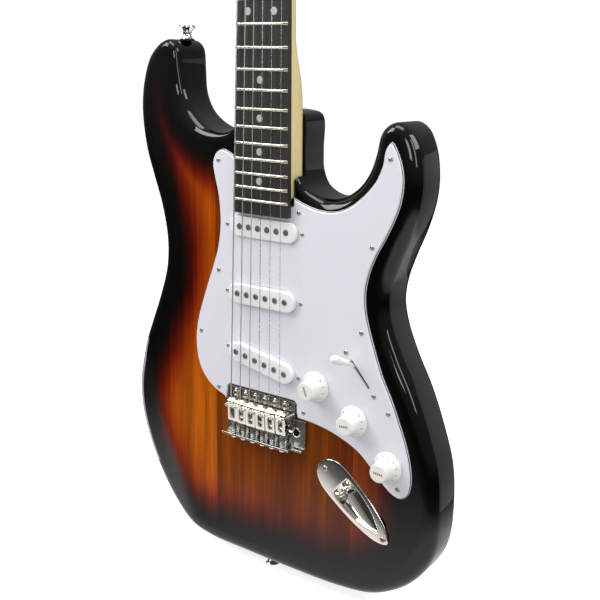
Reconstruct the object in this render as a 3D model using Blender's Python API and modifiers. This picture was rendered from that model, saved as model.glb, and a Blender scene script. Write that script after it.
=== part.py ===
"""Electric guitar with a bolt-on neck, three pickups and a pivoting spring bridge.

Frame: metres, +X towards the treble side, +Y into the body from its face, +Z up the neck. The origin
is on the centre line at the nut, level with the body's face. The lengths below are in millimetres. A
station is a distance from the nut towards the bridge, so Z = -station, and a plan point is (x, station).
"""

import math

import bmesh
import bpy
from mathutils import Matrix, Vector

MM = 0.001
GAP = 0.3  # clearance between pieces that rest on each other

# Neck and strings
SCALE = 647.7
FRETS = 22
BOARD_END = 477.7
BOARD_HALF_WIDTH = (20.5, 28.6)  # at the nut and at the end
BOARD_TOP = -9.9  # crown of the fretboard, in y
BOARD_BOTTOM = -3.3
BOARD_RADIUS = 305.0
FRET_HEIGHT = 1.1
FRET_WIDTH = 2.4
NUT_LENGTH = 3.5
HEEL_END = 465.5
HEEL_BOTTOM = 15.7
NECK_TOP = -3.0
STRING_RADII = (0.62, 0.5, 0.4, 0.3, 0.25, 0.2)
NUT_SPREAD = 35.0  # first to last string
SADDLE_SPREAD = 54.0
SADDLE_ACTION = 14.4  # the strings' height in front of the body at the saddles

# Headstock and tuners
HEAD_FRONT = 2.0
HEAD_BACK = 16.0
POST_RADIUS = 3.0
FIRST_POST = -32.0
POST_PITCH = 24.5
BUTTON_AXIS = Vector((-0.9615, 0.0, 0.2747))  # square to the row of posts

# Body
BODY_DEPTH = 45.0
EDGE_RADIUS = 12.0
POCKET_DEPTH = 16.0
FOREARM_LINE = ((-150.0, 585.0), (-72.0, 806.0))
FOREARM_SLOPE = 0.21
BELLY_DEPTH = 12.0
BELLY_CENTRE = 510.0
BELLY_REACH = 115.0

# Pickups: centre station, slant in degrees, height of the cover's face above the body's face
# station, slant in degrees, height of the cover's top
PICKUPS = {"neck": (490.5, 0.0, 5.2), "middle": (549.9, 0.0, 6.8), "bridge": (608.6, 10.8, 7.4)}
COVER_SIZE = (71.5, 18.4)
POLE_RADIUS = 2.4
POLE_SPANS = {"neck": 49.4, "middle": 51.1, "bridge": 52.9}

# Pickguard and controls
GUARD_FRONT = -2.6
GUARD_BACK = -GAP
KNOBS = {"volume": (57.0, 619.0), "neck_tone": (96.0, 640.5), "middle_tone": (130.0, 672.5)}
SWITCH_CENTRE = (100.0, 599.0)
SWITCH_ANGLE = math.radians(48.8)
SWITCH_PIVOT_DEPTH = 15.0
LEVER_TILT = math.radians(-29.0)

# Bridge
PIVOT_STATION = 643.5
PIVOT_Y = -2.0
PLATE_FRONT = -3.4
PLATE_BACK = -1.0
CROWN_STATION = 650.5
STRING_HOLE = 664.5
ARM_HOLE = (38.5, 665.5)
ARM_HOLE_RADIUS = 3.9
ARM_HOLE_DEPTH = 22.0
SADDLE_HALF_WIDTH = 5.1
BLOCK_BACK = 41.0
SPRING_X = (-20.0, 0.0, 20.0)
SPRING_Y = 36.0
CLAW_STATION = 560.0
BLOCK_FRONT = 657.5

# Jack plate
JACK_CENTRE = (97.0, 714.5)
JACK_ANGLE = math.radians(38.8)


def clear_scene():
    for obj in list(bpy.data.objects):
        bpy.data.objects.remove(obj)


def new_collection(name):
    collection = bpy.data.collections.new(name)
    bpy.context.scene.collection.children.link(collection)
    return collection


def new_material(name, colour, roughness, metallic=0.0):
    material = bpy.data.materials.new(name)
    material.use_nodes = True
    shader = material.node_tree.nodes["Principled BSDF"]
    shader.inputs["Base Color"].default_value = (*colour, 1.0)
    shader.inputs["Roughness"].default_value = roughness
    shader.inputs["Metallic"].default_value = metallic
    return material


clear_scene()
PARTS = new_collection("electric_guitar")
CUTTERS = new_collection("cutters")
MATERIALS = {
    "sunburst": new_material("sunburst", (0.30, 0.06, 0.01), 0.15),
    "maple": new_material("maple", (0.78, 0.62, 0.33), 0.35),
    "rosewood": new_material("rosewood", (0.035, 0.025, 0.02), 0.55),
    "bone": new_material("bone", (0.85, 0.82, 0.72), 0.4),
    "guard": new_material("guard", (0.82, 0.82, 0.86), 0.3),
    "cover": new_material("cover", (0.9, 0.9, 0.9), 0.35),
    "coil": new_material("coil", (0.12, 0.12, 0.1), 0.5),
    "chrome": new_material("chrome", (0.75, 0.75, 0.76), 0.12, 1.0),
    "steel": new_material("steel", (0.5, 0.5, 0.5), 0.35, 1.0),
}


# ---------------------------------------------------------------------------------------------------
# Plan outlines
# ---------------------------------------------------------------------------------------------------


def smooth_curve(points, spacing, closed=True):
    """A centripetal Catmull-Rom curve through the points, sampled about every spacing."""
    points = [Vector(point) for point in points]
    if closed:
        chain = [points[-1], *points, points[0], points[1]]
    else:
        chain = [points[0] * 2 - points[1], *points, points[-1] * 2 - points[-2]]
    curve = []
    for a, b, c, d in zip(chain, chain[1:], chain[2:], chain[3:]):
        tb = math.sqrt((b - a).to_2d().length)
        tc = tb + math.sqrt((c - b).to_2d().length)
        td = tc + math.sqrt((d - c).to_2d().length)
        steps = max(2, round((c - b).to_2d().length / spacing))
        for step in range(steps):
            t = tb + (tc - tb) * step / steps
            ab = a.lerp(b, t / tb)
            bc = b.lerp(c, (t - tb) / (tc - tb))
            cd = c.lerp(d, (t - tc) / (td - tc))
            share = (t - tb) / (tc - tb)
            curve.append(ab.lerp(bc, t / tc).lerp(bc.lerp(cd, (t - tb) / (td - tb)), share))
    if not closed:
        curve.append(points[-1])
    return curve


def rounded_polygon(points, radius, steps=3):
    """The polygon with each corner replaced by a curve that starts radius away from it."""
    loop = []
    for i, corner in enumerate(points):
        corner = Vector(corner)
        before = Vector(points[i - 1]) - corner
        after = Vector(points[(i + 1) % len(points)]) - corner
        start = corner + before.normalized() * radius
        end = corner + after.normalized() * radius
        for step in range(steps + 1):
            t = step / steps
            loop.append(start.lerp(corner, t).lerp(corner.lerp(end, t), t))
    return loop


def rounded_box(x0, x1, s0, s1, radius, steps=3):
    return rounded_polygon(((x0, s0), (x1, s0), (x1, s1), (x0, s1)), radius, steps)


def circle(radius, steps):
    turns = [math.tau * k / steps for k in range(steps)]
    return [(radius * math.cos(turn), radius * math.sin(turn)) for turn in turns]


def turned_plan(points, centre, angle):
    """Local plan points (u, v) turned by the angle and moved to the centre."""
    cos, sin = math.cos(angle), math.sin(angle)
    return [Vector((centre[0] + u * cos - v * sin, centre[1] + u * sin + v * cos)) for u, v in points]


def stadium(length, width, steps=6):
    """A slot shape with round ends about the origin."""
    radius = width / 2
    half = length / 2 - radius
    points = []
    for side in (1, -1):
        for step in range(steps + 1):
            turn = math.pi * (step / steps - 0.5)
            points.append((side * (half + radius * math.cos(turn)), side * radius * math.sin(turn)))
    return points


# ---------------------------------------------------------------------------------------------------
# Solids
# ---------------------------------------------------------------------------------------------------


def place(x, y, station):
    return Vector((x, y, -station)) * MM


def millimetres(point):
    """A world point as x, y and station."""
    return (point.x / MM, point.y / MM, -point.z / MM)


def add_object(name, mesh, material=None, origin=None):
    """An object for the mesh, which is given in world coordinates. With no material it is a cutter."""
    obj = bpy.data.objects.new(name, mesh)
    if origin is not None:
        mesh.transform(Matrix.Translation(-origin))
        obj.location = origin
    if material is None:
        obj.hide_render = True
        obj.display_type = "WIRE"
        CUTTERS.objects.link(obj)
    else:
        mesh.materials.append(MATERIALS[material])
        PARTS.objects.link(obj)
    return obj


def mesh_of(name, bm):
    bmesh.ops.recalc_face_normals(bm, faces=bm.faces)
    mesh = bpy.data.meshes.new(name)
    bm.to_mesh(mesh)
    bm.free()
    return mesh


def prism(name, outlines, y_front, y_back, material=None, origin=None):
    """A flat piece parallel to the face: an outer plan outline, then any holes, between two y values."""
    curve = bpy.data.curves.new(name, "CURVE")
    curve.dimensions = "2D"
    curve.fill_mode = "BOTH"
    curve.extrude = (y_back - y_front) / 2 * MM
    for outline in outlines:
        spline = curve.splines.new("POLY")
        spline.points.add(len(outline) - 1)
        for point, (x, station) in zip(spline.points, outline):
            point.co = (x * MM, -station * MM, 0.0, 1.0)
        spline.use_cyclic_u = True
    flat = bpy.data.objects.new(name, curve)
    CUTTERS.objects.link(flat)
    middle = Vector((0.0, (y_front + y_back) / 2 * MM, 0.0))
    flat.matrix_world = Matrix.Translation(middle) @ Matrix.Rotation(math.pi / 2, 4, "X")
    mesh = curve_mesh(flat)
    return add_object(name, mesh, material, origin)


def curve_mesh(curve_object):
    """The curve object's solid as a welded mesh in world coordinates. The curve is removed."""
    bpy.context.view_layer.update()
    evaluated = curve_object.evaluated_get(bpy.context.evaluated_depsgraph_get())
    mesh = bpy.data.meshes.new_from_object(evaluated)
    mesh.transform(curve_object.matrix_world)
    bpy.data.objects.remove(curve_object)
    bm = bmesh.new()
    bm.from_mesh(mesh)
    bmesh.ops.remove_doubles(bm, verts=bm.verts, dist=1e-6)
    bmesh.ops.recalc_face_normals(bm, faces=bm.faces)
    bm.to_mesh(mesh)
    bm.free()
    return mesh


def box(name, x, y, station, material=None, turn=None, origin=None):
    """A box from three (low, high) spans. turn is a matrix applied about its centre."""
    bm = bmesh.new()
    bmesh.ops.create_cube(bm, size=1.0)
    size = Matrix.Diagonal(((x[1] - x[0]) * MM, (y[1] - y[0]) * MM, (station[1] - station[0]) * MM, 1.0))
    centre = place(sum(x) / 2, sum(y) / 2, sum(station) / 2)
    bmesh.ops.transform(bm, verts=bm.verts, matrix=Matrix.Translation(centre) @ (turn or Matrix()) @ size)
    return add_object(name, mesh_of(name, bm), material, origin)


def rod(name, start, end, radius, end_radius=None, sides=12, material=None, origin=None):
    """A cylinder or cone between two world points given as (x, y, station)."""
    start, end = place(*start), place(*end)
    axis = end - start
    bm = bmesh.new()
    bmesh.ops.create_cone(
        bm,
        cap_ends=True,
        segments=sides,
        radius1=radius * MM,
        radius2=(radius if end_radius is None else end_radius) * MM,
        depth=axis.length,
    )
    turn = axis.to_track_quat("Z", "Y").to_matrix().to_4x4()
    bmesh.ops.transform(bm, verts=bm.verts, matrix=Matrix.Translation((start + end) / 2) @ turn)
    return add_object(name, mesh_of(name, bm), material, origin)


def turned(name, profile, base, axis, steps, material=None):
    """A turned piece. The profile lists (radius, height) from its top centre down its outside, and
    height runs along the axis from the base, which becomes the object's origin."""
    bm = bmesh.new()
    verts = [bm.verts.new((radius * MM, 0.0, height * MM)) for radius, height in profile]
    for a, b in zip(verts, verts[1:]):
        bm.edges.new((a, b))
    mesh = bpy.data.meshes.new(name)
    bm.to_mesh(mesh)
    bm.free()
    obj = add_object(name, mesh, material)
    turn = axis.to_track_quat("Z", "Y").to_matrix().to_4x4()
    obj.matrix_world = Matrix.Translation(place(*base)) @ turn
    screw = obj.modifiers.new("turn", "SCREW")
    screw.axis = "Z"
    screw.steps = steps
    screw.render_steps = steps
    screw.use_merge_vertices = True
    screw.merge_threshold = 1e-5
    return obj


def loft(name, rings, material=None, origin=None):
    """A solid through rings of equal length, given as world points."""
    bm = bmesh.new()
    rows = [[bm.verts.new(point) for point in ring] for ring in rings]
    count = len(rows[0])
    for lower, upper in zip(rows, rows[1:]):
        for i in range(count):
            j = (i + 1) % count
            bm.faces.new((lower[i], lower[j], upper[j], upper[i]))
    bm.faces.new(rows[0])
    bm.faces.new(rows[-1])
    return add_object(name, mesh_of(name, bm), material, origin)


def combine(obj, other, operation="DIFFERENCE", solver="EXACT"):
    modifier = obj.modifiers.new(other.name, "BOOLEAN")
    modifier.operation = operation
    modifier.object = other
    modifier.solver = solver


FORWARD = Vector((0.0, -1.0, 0.0))


# ---------------------------------------------------------------------------------------------------
# Body
# ---------------------------------------------------------------------------------------------------

# (x, station, edge radius), from the bass corner of the neck shelf round by the treble horn
BODY_PLAN = (
    (-24, 393, 3), (24, 393, 3), (28.5, 398, 3), (28.7, 424, 3), (30, 441, 4), (36, 452, 9),
    (47, 457.5, 12), (60, 459.5, 12), (74, 456.5, 12), (87, 447.5, 12), (96, 435, 12), (101, 421, 12),
    (104.5, 407, 12), (111, 399, 12), (120.5, 395.5, 12), (131, 401, 12), (139, 414, 12), (143, 436, 12),
    (142, 456, 12), (136, 479, 12), (127, 502, 12), (120.5, 522, 12), (118.5, 540, 12), (122.5, 558.5, 12),
    (133, 583, 12), (147, 609, 12), (160, 640, 12), (170, 671, 12), (173.3, 700, 12), (172, 738, 12),
    (165.5, 757, 12), (152.5, 775.5, 12), (135, 790, 12), (113, 800.5, 12), (78, 805.5, 12), (25, 806.5, 12),
    (-25, 806, 12), (-67, 804.5, 12), (-97, 797, 12), (-123, 777, 12), (-144, 750, 12), (-158, 722, 12),
    (-166, 690, 12), (-165, 662, 12), (-157, 635, 12), (-143.5, 601, 12), (-129.5, 567, 12), (-121, 540, 12),
    (-119.5, 515, 12), (-125.5, 484, 12), (-135, 458, 12), (-144.5, 431, 12), (-149.3, 398, 12),
    (-146.5, 372, 12), (-138, 350.5, 12), (-125, 339, 11), (-111.5, 335.3, 9), (-103.5, 341, 7),
    (-100.5, 360, 10), (-97, 380, 12), (-90, 393.5, 12), (-78, 404.5, 12), (-62, 411.8, 10), (-47, 412.5, 6),
    (-36, 408, 4), (-30, 400, 3), (-27.6, 396, 3),
)


def ramp(distance, blend):
    """Zero up to 0, a smooth start over the blend length, then a slope of one."""
    if distance <= 0:
        return 0.0
    if distance < blend:
        return distance * distance / (2 * blend)
    return distance - blend / 2


def forearm_distance(x, station):
    """How far a plan point lies outside the line where the forearm contour starts."""
    (ax, a_station), (bx, b_station) = FOREARM_LINE
    along = Vector((bx - ax, b_station - a_station)).normalized()
    return -((x - ax) * along.y - (station - a_station) * along.x)


def belly_depth(x, station):
    """Depth of the hollow for the player's ribs, cut in the back at the bass waist."""
    offset = (station - BELLY_CENTRE) / BELLY_REACH
    window = math.cos(offset * math.pi / 2) if abs(offset) < 1 else 0.0
    return BELLY_DEPTH / 55.0 * ramp(-58.0 - x, 25.0) * window * window


def contour(point):
    """Moves a point of the plain slab into the forearm and belly contours."""
    x, y, station = point.x / MM, point.y / MM, -point.z / MM
    front = FOREARM_SLOPE * ramp(forearm_distance(x, station), 14.0)
    back = belly_depth(x, station)
    return y + front * (1 - y / BODY_DEPTH) - back * y / BODY_DEPTH


def slice_faces(bm, faces_of, planes):
    for origin, normal in planes:
        faces = faces_of(bm)
        edges = {edge for face in faces for edge in face.edges}
        verts = {vert for face in faces for vert in face.verts}
        geometry = list(verts) + list(edges) + faces
        bmesh.ops.bisect_plane(bm, geom=geometry, dist=1e-6, plane_co=origin, plane_no=normal)


def front_faces(bm):
    return [face for face in bm.faces if face.calc_center_median().y < 0.02]


def bass_back_faces(bm):
    centres = {face: face.calc_center_median() for face in bm.faces}
    return [face for face, centre in centres.items() if centre.y > 0.025 and centre.x < -0.03]


def make_body():
    loop = smooth_curve(BODY_PLAN, 11.0)
    count = len(loop)
    rings = []
    for back in (False, True):
        for step in range(3):
            turn = math.pi / 2 * (step if back else 2 - step) / 2
            ring = []
            for i, (x, station, radius) in enumerate(loop):
                along = (loop[(i + 1) % count] - loop[i - 1]).to_2d().normalized()
                inset = radius * (1 - math.cos(turn))
                depth = radius * (1 - math.sin(turn))
                y = BODY_DEPTH - depth if back else depth
                ring.append(place(x - along.y * inset, y, station + along.x * inset))
            rings.append(ring)
    body = loft("body", rings, "sunburst")
    bm = bmesh.new()
    bm.from_mesh(body.data)
    bmesh.ops.triangulate(bm, faces=[face for face in bm.faces if len(face.verts) > 4])
    (ax, a_station), (bx, b_station) = FOREARM_LINE
    outward = Vector((-(b_station - a_station), 0.0, -(bx - ax))).normalized()
    forearm = [(place(ax, 0.0, a_station) + outward * step * MM, outward) for step in (0, 7, 14, 30, 45)]
    slice_faces(bm, front_faces, forearm)
    belly = [(place(x, 0.0, 0.0), Vector((1, 0, 0))) for x in (-58, -75, -95, -118)]
    stations = (395, 430, 465, 510, 555, 590, 625)
    belly += [(place(0.0, 0.0, station), Vector((0, 0, 1))) for station in stations]
    slice_faces(bm, bass_back_faces, belly)
    for vert in bm.verts:
        vert.co.y = contour(vert.co) * MM
    body.data = mesh_of("body", bm)
    body.data.materials.append(MATERIALS["sunburst"])
    cut_body(body)


def cut_body(body):
    """The neck pocket and the cavities for pickups, controls, tremolo block, springs and jack."""
    pocket = (
        (-31, 385), (31, 385), (31, 444), (29, 447), (29, 461), (24, 467.5), (-24, 467.5), (-29, 461),
        (-28.2, 404), (-31, 403),
    )
    controls = (
        (38, 566), (103, 566), (116, 596), (130, 624), (139, 644), (144.5, 660), (144.5, 682), (139, 687),
        (126, 687), (118, 680), (115, 674), (100, 660), (84, 652), (62, 645), (38, 632),
    )
    jack = turned_plan(rounded_box(-41, 36, -13, 13, 9), JACK_CENTRE, JACK_ANGLE)
    through = BODY_DEPTH + 2
    cavities = {
        "neck_pocket": (pocket, -2.0, POCKET_DEPTH),
        "pickups": (rounded_box(-44, 46, 481, 628, 8), -2.0, 19.0),
        "controls": (rounded_polygon(controls, 3, 2), -2.1, 33.0),
        "block_slot": (rounded_box(-34.5, 45.5, 655.5, 679, 3), -2.2, through),
        "springs": (rounded_box(-33, 33, 545, 660, 5), 27.0, through),
        "jack": (jack, -2.3, 36.0),
    }
    for name, (outline, front, back) in cavities.items():
        combine(body, prism(f"cut_{name}", [outline], front, back), solver="MANIFOLD")


# ---------------------------------------------------------------------------------------------------
# Neck, fretboard, nut
# ---------------------------------------------------------------------------------------------------


def board_half_width(station):
    nut, end = BOARD_HALF_WIDTH
    return nut + (end - nut) * max(0.0, station) / BOARD_END


def crown(x):
    """How far the crowned board falls away at x."""
    return x * x / (2 * BOARD_RADIUS)


def neck_section(station, half_width, top, bottom, square):
    """A flat top with a back that runs from round (square = 2) to boxy (square = 12)."""
    points = [place(-half_width, top, station), place(half_width, top, station)]
    steps = 11
    for step in range(1, steps):
        turn = math.pi * step / steps
        cos, sin = math.cos(turn), math.sin(turn)
        x = half_width * math.copysign(abs(cos) ** (2 / square), cos)
        points.append(place(x, top + (bottom - top) * sin ** (2 / square), station))
    return points


def make_neck():
    stations = ((461, HEEL_BOTTOM, 12), (385, HEEL_BOTTOM, 12), (372, 15.3, 9), (360, 14.2, 5.5))
    stations += ((348, 13.0, 3.6), (335, 12.4, 2.7), (200, 11.9, 2.4), (60, 11.3, 2.4), (12, 11.6, 2.4))
    rings = [neck_section(HEEL_END, 24.3, NECK_TOP, HEEL_BOTTOM, 12)]
    for station, bottom, square in stations:
        rings.append(neck_section(station, board_half_width(station) - 0.1, NECK_TOP, bottom, square))
    rings.append(neck_section(-3.6, 20.5, NECK_TOP, 12.6, 2.6))
    rings.append(neck_section(-8, 21.0, -0.5, 13.8, 3.2))
    rings.append(neck_section(-14, 21.5, HEAD_FRONT + 0.2, 15.0, 4.5))
    rings.append(neck_section(-24, 22.0, HEAD_FRONT + 0.4, HEAD_BACK - 0.4, 8))
    neck = loft("neck", rings, "maple")
    head = (
        (-21.3, -6), (-23.5, -13), (-31, -18.5), (-37.5, -24), (-37.8, -34), (-26, -78), (-8, -142),
        (0, -168), (9, -180), (24, -184), (37, -176), (42, -158), (40, -130), (34, -92), (27.5, -55),
        (23, -26), (21.3, -6),
    )
    plan = smooth_curve(head, 12.0, closed=False)
    combine(neck, prism("join_headstock", [plan], HEAD_FRONT, HEAD_BACK), "UNION")
    combine(neck, box("cut_truss_channel", (-3.4, 3.4), (-4, 6.5), (10, 440)))
    for number, (x, station) in enumerate(posts(), 1):
        hole = rod(f"cut_post_{number}", (x, -1, station), (x, 20, station), POST_RADIUS + 0.6, sides=12)
        combine(neck, hole)
    rod("truss_rod", (0, 1.2, 12), (0, 1.2, 438), 2.7, sides=10, material="steel")


def make_fretboard():
    def section(station):
        half = board_half_width(station)
        across = [half * k / 3 for k in range(-3, 4)]
        points = [place(x, BOARD_TOP + crown(x), station) for x in across]
        points += [place(half, BOARD_BOTTOM, station), place(-half, BOARD_BOTTOM, station)]
        return points

    board = loft("fretboard", [section(0.0), section(BOARD_END)], "rosewood")
    for fret in range(1, FRETS + 1):
        station = SCALE * (1 - 2 ** (-fret / 12))
        half = board_half_width(station) - 0.6
        rings = []
        for edge in (-FRET_WIDTH / 2, FRET_WIDTH / 2):
            ring = []
            for x in (-half, 0, half):
                ring.append(place(x, BOARD_TOP + crown(x) - FRET_HEIGHT, station + edge))
            ring.append(place(half, BOARD_TOP + crown(half) + 0.7, station + edge))
            ring.append(place(-half, BOARD_TOP + crown(half) + 0.7, station + edge))
            rings.append(ring)
        combine(board, loft(f"join_fret_{fret}", rings), "UNION")


def make_nut():
    half = BOARD_HALF_WIDTH[0]
    points = [(half, NECK_TOP - GAP), (-half, NECK_TOP - GAP)]
    points += [(x, BOARD_TOP + crown(x) - 0.9) for x in (-half, -half / 2, 0, half / 2, half)]
    loft("nut", [[place(x, y, s) for x, y in points] for s in (-NUT_LENGTH, -GAP)], "bone")


# ---------------------------------------------------------------------------------------------------
# Tuners and strings
# ---------------------------------------------------------------------------------------------------


def string_x(string, station):
    """Lateral place of a string, 0 the thickest, between the nut and the saddles."""
    spread = NUT_SPREAD + (SADDLE_SPREAD - NUT_SPREAD) * max(0.0, station) / SCALE
    return spread * (string / 5 - 0.5)


def posts():
    """Plan places of the six string posts, the thickest string's first. Each string passes on the
    treble side of its post."""
    places = []
    for string, radius in enumerate(STRING_RADII):
        x = string_x(string, 0) - POST_RADIUS - GAP - radius
        places.append((x, FIRST_POST - POST_PITCH * string))
    return places


def make_tuners():
    places = posts()
    first, last = places[0], places[-1]
    back = HEAD_BACK + GAP
    ends = ((first[0], first[1] + 11), (last[0], last[1] - 11))
    slant = Vector((ends[1][0] - ends[0][0], ends[1][1] - ends[0][1])).normalized()
    side = Vector((slant.y, -slant.x)) * 7.0
    strip = [Vector(ends[0]) + side, Vector(ends[1]) + side, Vector(ends[1]) - side, Vector(ends[0]) - side]
    tray = prism("tuner_tray", [strip], back, back + 1.6, "chrome")
    angle = math.atan2(slant.x, -slant.y)
    turn = Matrix.Rotation(angle, 4, "Y")
    post = [(0, 31), (2.6, 31), (3, 30.4), (3, 27), (2.5, 25.8), (2.5, 20.5), (3, 19), (3, 0), (0, 0)]
    stem = [(0, 22), (7.4, 22), (8, 21), (8, 13.5), (7, 12.5), (2.4, 11.5), (2.0, 11), (2.0, 0), (0, 0)]
    for number, (x, station) in enumerate(places, 1):
        depth, length = (back + 1, back + 8.5), (station - 7, station + 7)
        housing = box(f"join_housing_{number}", (x - 6.5, x + 6.5), depth, length, turn=turn)
        combine(tray, housing, "UNION")
        turned(f"tuner_post_{number}", post, (x, HEAD_BACK - 0.1, station), FORWARD, 12, "chrome")
        start = place(x, back + 4.6, station) + BUTTON_AXIS * 7.2 * MM
        button = turned(f"tuner_button_{number}", stem, millimetres(start), BUTTON_AXIS, 14, "chrome")
        middle = Matrix.Translation(start + BUTTON_AXIS * 19.5 * MM) @ turn
        for side_name, offset in (("front", -8.2), ("back", 8.2)):
            flat = box(f"cut_button_{side_name}_{number}", (-9, 9), (offset - 4, offset + 4), (-9, 9))
            flat.matrix_world = middle
            combine(button, flat)


def string_route(string):
    """The string's route from its ball end in the tremolo block to the last turn round its post."""
    radius = STRING_RADII[string]
    x_saddle = string_x(string, SCALE)
    x_nut = string_x(string, 0)
    crown_y = crown(x_saddle) - SADDLE_ACTION
    nut_y = BOARD_TOP + crown(x_nut) - 0.9 - GAP - radius
    post_x, post_station = posts()[string]
    post_y = -6.2
    points = [
        (x_saddle, 9.0, STRING_HOLE),
        (x_saddle, 3.0, STRING_HOLE),
        (x_saddle, -2.0, STRING_HOLE - 1.9),
        (x_saddle, crown_y + 3.4, CROWN_STATION + 5.0),
        (x_saddle, crown_y + 0.5, CROWN_STATION + 1.7),
        (x_saddle, crown_y, CROWN_STATION),
        (x_nut, nut_y, 0.0),
        (x_nut, nut_y, -3.2),
        (x_nut, nut_y + 0.4, -5.2),
    ]
    if string >= 4:
        points.append((x_nut, -7.4, -72.0))
        points.append((x_nut, -7.1, -78.0))
    reach = POST_RADIUS + GAP + radius
    for step in range(11):
        turn = math.tau * step / 8
        y = post_y + radius * 2.4 * step / 8
        points.append((post_x + reach * math.cos(turn), y, post_station - reach * math.sin(turn)))
    return points


def make_strings():
    for string in range(6):
        name = f"string_{string + 1}"
        curve = bpy.data.curves.new(name, "CURVE")
        curve.dimensions = "3D"
        curve.bevel_depth = STRING_RADII[string] * MM
        curve.bevel_resolution = 1
        curve.use_fill_caps = True
        route = string_route(string)
        spline = curve.splines.new("POLY")
        spline.points.add(len(route) - 1)
        for point, (x, y, station) in zip(spline.points, route):
            point.co = (*place(x, y, station), 1.0)
        wire = bpy.data.objects.new(name, curve)
        CUTTERS.objects.link(wire)
        add_object(name, curve_mesh(wire), "steel")


def make_string_tree():
    x = (string_x(4, 0) + string_x(5, 0)) / 2
    tree = box("string_tree", (x - 6.5, x + 6.5), (-9.4, -8.5), (-78, -72), "chrome")
    stem = rod("join_tree_stem", (x, -8.8, -75), (x, HEAD_FRONT - GAP, -75), 1.8, sides=10)
    combine(tree, stem, "UNION")


# ---------------------------------------------------------------------------------------------------
# Pickguard, pickups, controls
# ---------------------------------------------------------------------------------------------------

GUARD_RIGHT = (
    (29.6, 461), (40, 465), (54, 468.3), (68, 468.5), (80, 465), (91, 458), (100, 449.5), (107.5, 440),
    (112.5, 428), (114.7, 416), (119.8, 410), (125, 417), (129.5, 428), (131.5, 441), (129.5, 457),
    (124.5, 471), (118, 485), (110.5, 499), (105, 513), (102, 528), (102.3, 543), (106, 558), (113, 578),
    (121, 598), (130, 615), (138, 633), (145, 650), (150, 668), (151.3, 683), (148.5, 693.5), (142, 698.3),
    (134, 696.5), (125, 690), (113, 678.5), (102, 669), (89, 662.3), (73, 657), (55, 653.8), (38.2, 652.8),
)
GUARD_LEFT = (
    (-40.8, 652), (-54, 647), (-66, 638.5), (-74, 626.5), (-77.6, 612), (-78, 597), (-75, 580), (-69.5, 563),
    (-63.5, 546), (-57.5, 530), (-52, 513), (-49.4, 496), (-49.4, 481), (-51.5, 465), (-55.5, 450),
    (-57.3, 438), (-53.5, 429.5), (-46, 426.2), (-38.5, 428.5), (-29.6, 434),
)


def make_pickguard():
    outline = smooth_curve(GUARD_RIGHT, 9.0, closed=False)
    outline += [Vector((38.2, 637.2)), Vector((-40.8, 637.2))]
    outline += smooth_curve(GUARD_LEFT, 9.0, closed=False)
    outline += [Vector((-29.6, 468.4)), Vector((29.6, 468.4))]
    holes = []
    for station, slant, _ in PICKUPS.values():
        local = stadium(COVER_SIZE[0] + 0.8, COVER_SIZE[1] + 0.8)
        holes.append(turned_plan(local, (0, station), math.radians(slant)))
    for centre in KNOBS.values():
        holes.append(turned_plan(circle(4.5, 12), centre, 0.0))
    holes.append(turned_plan(rounded_box(-14, 14, -1.3, 1.3, 1.0, 2), SWITCH_CENTRE, SWITCH_ANGLE))
    prism("pickguard", [outline] + holes, GUARD_FRONT, GUARD_BACK, "guard")


def make_pickups():
    for name, (station, slant, height) in PICKUPS.items():
        angle = math.radians(slant)
        poles = [(POLE_SPANS[name] / math.cos(angle) * (k / 5 - 0.5), 0.0) for k in range(6)]
        poles = turned_plan(poles, (0, station), angle)
        outer = turned_plan(stadium(*COVER_SIZE), (0, station), angle)
        inner = turned_plan(stadium(COVER_SIZE[0] - 3.2, COVER_SIZE[1] - 3.2), (0, station), angle)
        holes = [turned_plan(circle(POLE_RADIUS + 0.35, 10), pole, 0.0) for pole in poles]
        cover = prism(f"{name}_pickup_cover", [outer] + holes, -height, 9.0, "cover")
        combine(cover, prism(f"cut_{name}_cover", [inner], -height + 1.6, 10.0), solver="MANIFOLD")
        coil = turned_plan(stadium(COVER_SIZE[0] - 4.4, COVER_SIZE[1] - 4.8), (0, station), angle)
        bobbin = prism(f"{name}_pickup_coil", [coil], -height + 2.0, 13.0, "coil")
        for number, (x, s) in enumerate(poles, 1):
            front, back = (x, -height - 0.8, s), (x, 15, s)
            pole = rod(f"join_{name}_pole_{number}", front, back, POLE_RADIUS, sides=10)
            combine(bobbin, pole, "UNION", "MANIFOLD")


def make_knobs():
    top = 16.2
    profile = [(0, top), (7.6, top), (8.0, top - 0.6), (8.8, 7.2), (12.6, 2.4), (13.3, 1.4), (13.3, 0)]
    profile += [(5.4, 0), (5.4, 4.6), (3.5, 4.6), (3.5, 13.2), (0, 13.2)]
    shaft = [(0, 15), (3, 15), (3, 6.5), (3.9, 6.5), (3.9, 0), (12, 0), (12, -10), (0, -10)]
    for name, (x, station) in KNOBS.items():
        turned(f"{name}_knob", profile, (x, GUARD_FRONT - GAP, station), FORWARD, 24, "cover")
        turned(f"{name}_pot", shaft, (x, 1.2, station), FORWARD, 16, "steel")


def switch_frame():
    """World matrix of the selector: local x along its slot, local y across it, local z to the front."""
    x, station = SWITCH_CENTRE
    along = Vector((math.cos(SWITCH_ANGLE), 0.0, -math.sin(SWITCH_ANGLE)))
    across = FORWARD.cross(along)
    turn = Matrix((along, across, FORWARD)).transposed().to_4x4()
    return Matrix.Translation(place(x, 0.0, station)) @ turn


def local_box(name, frame, x, y, z, material=None):
    """A box in the local axes of a frame."""
    bm = bmesh.new()
    bmesh.ops.create_cube(bm, size=1.0)
    size = Matrix.Diagonal(((x[1] - x[0]) * MM, (y[1] - y[0]) * MM, (z[1] - z[0]) * MM, 1.0))
    centre = Vector((sum(x) / 2, sum(y) / 2, sum(z) / 2)) * MM
    bmesh.ops.transform(bm, verts=bm.verts, matrix=Matrix.Translation(centre) @ size)
    obj = add_object(name, mesh_of(name, bm), material)
    obj.matrix_world = frame
    return obj


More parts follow.
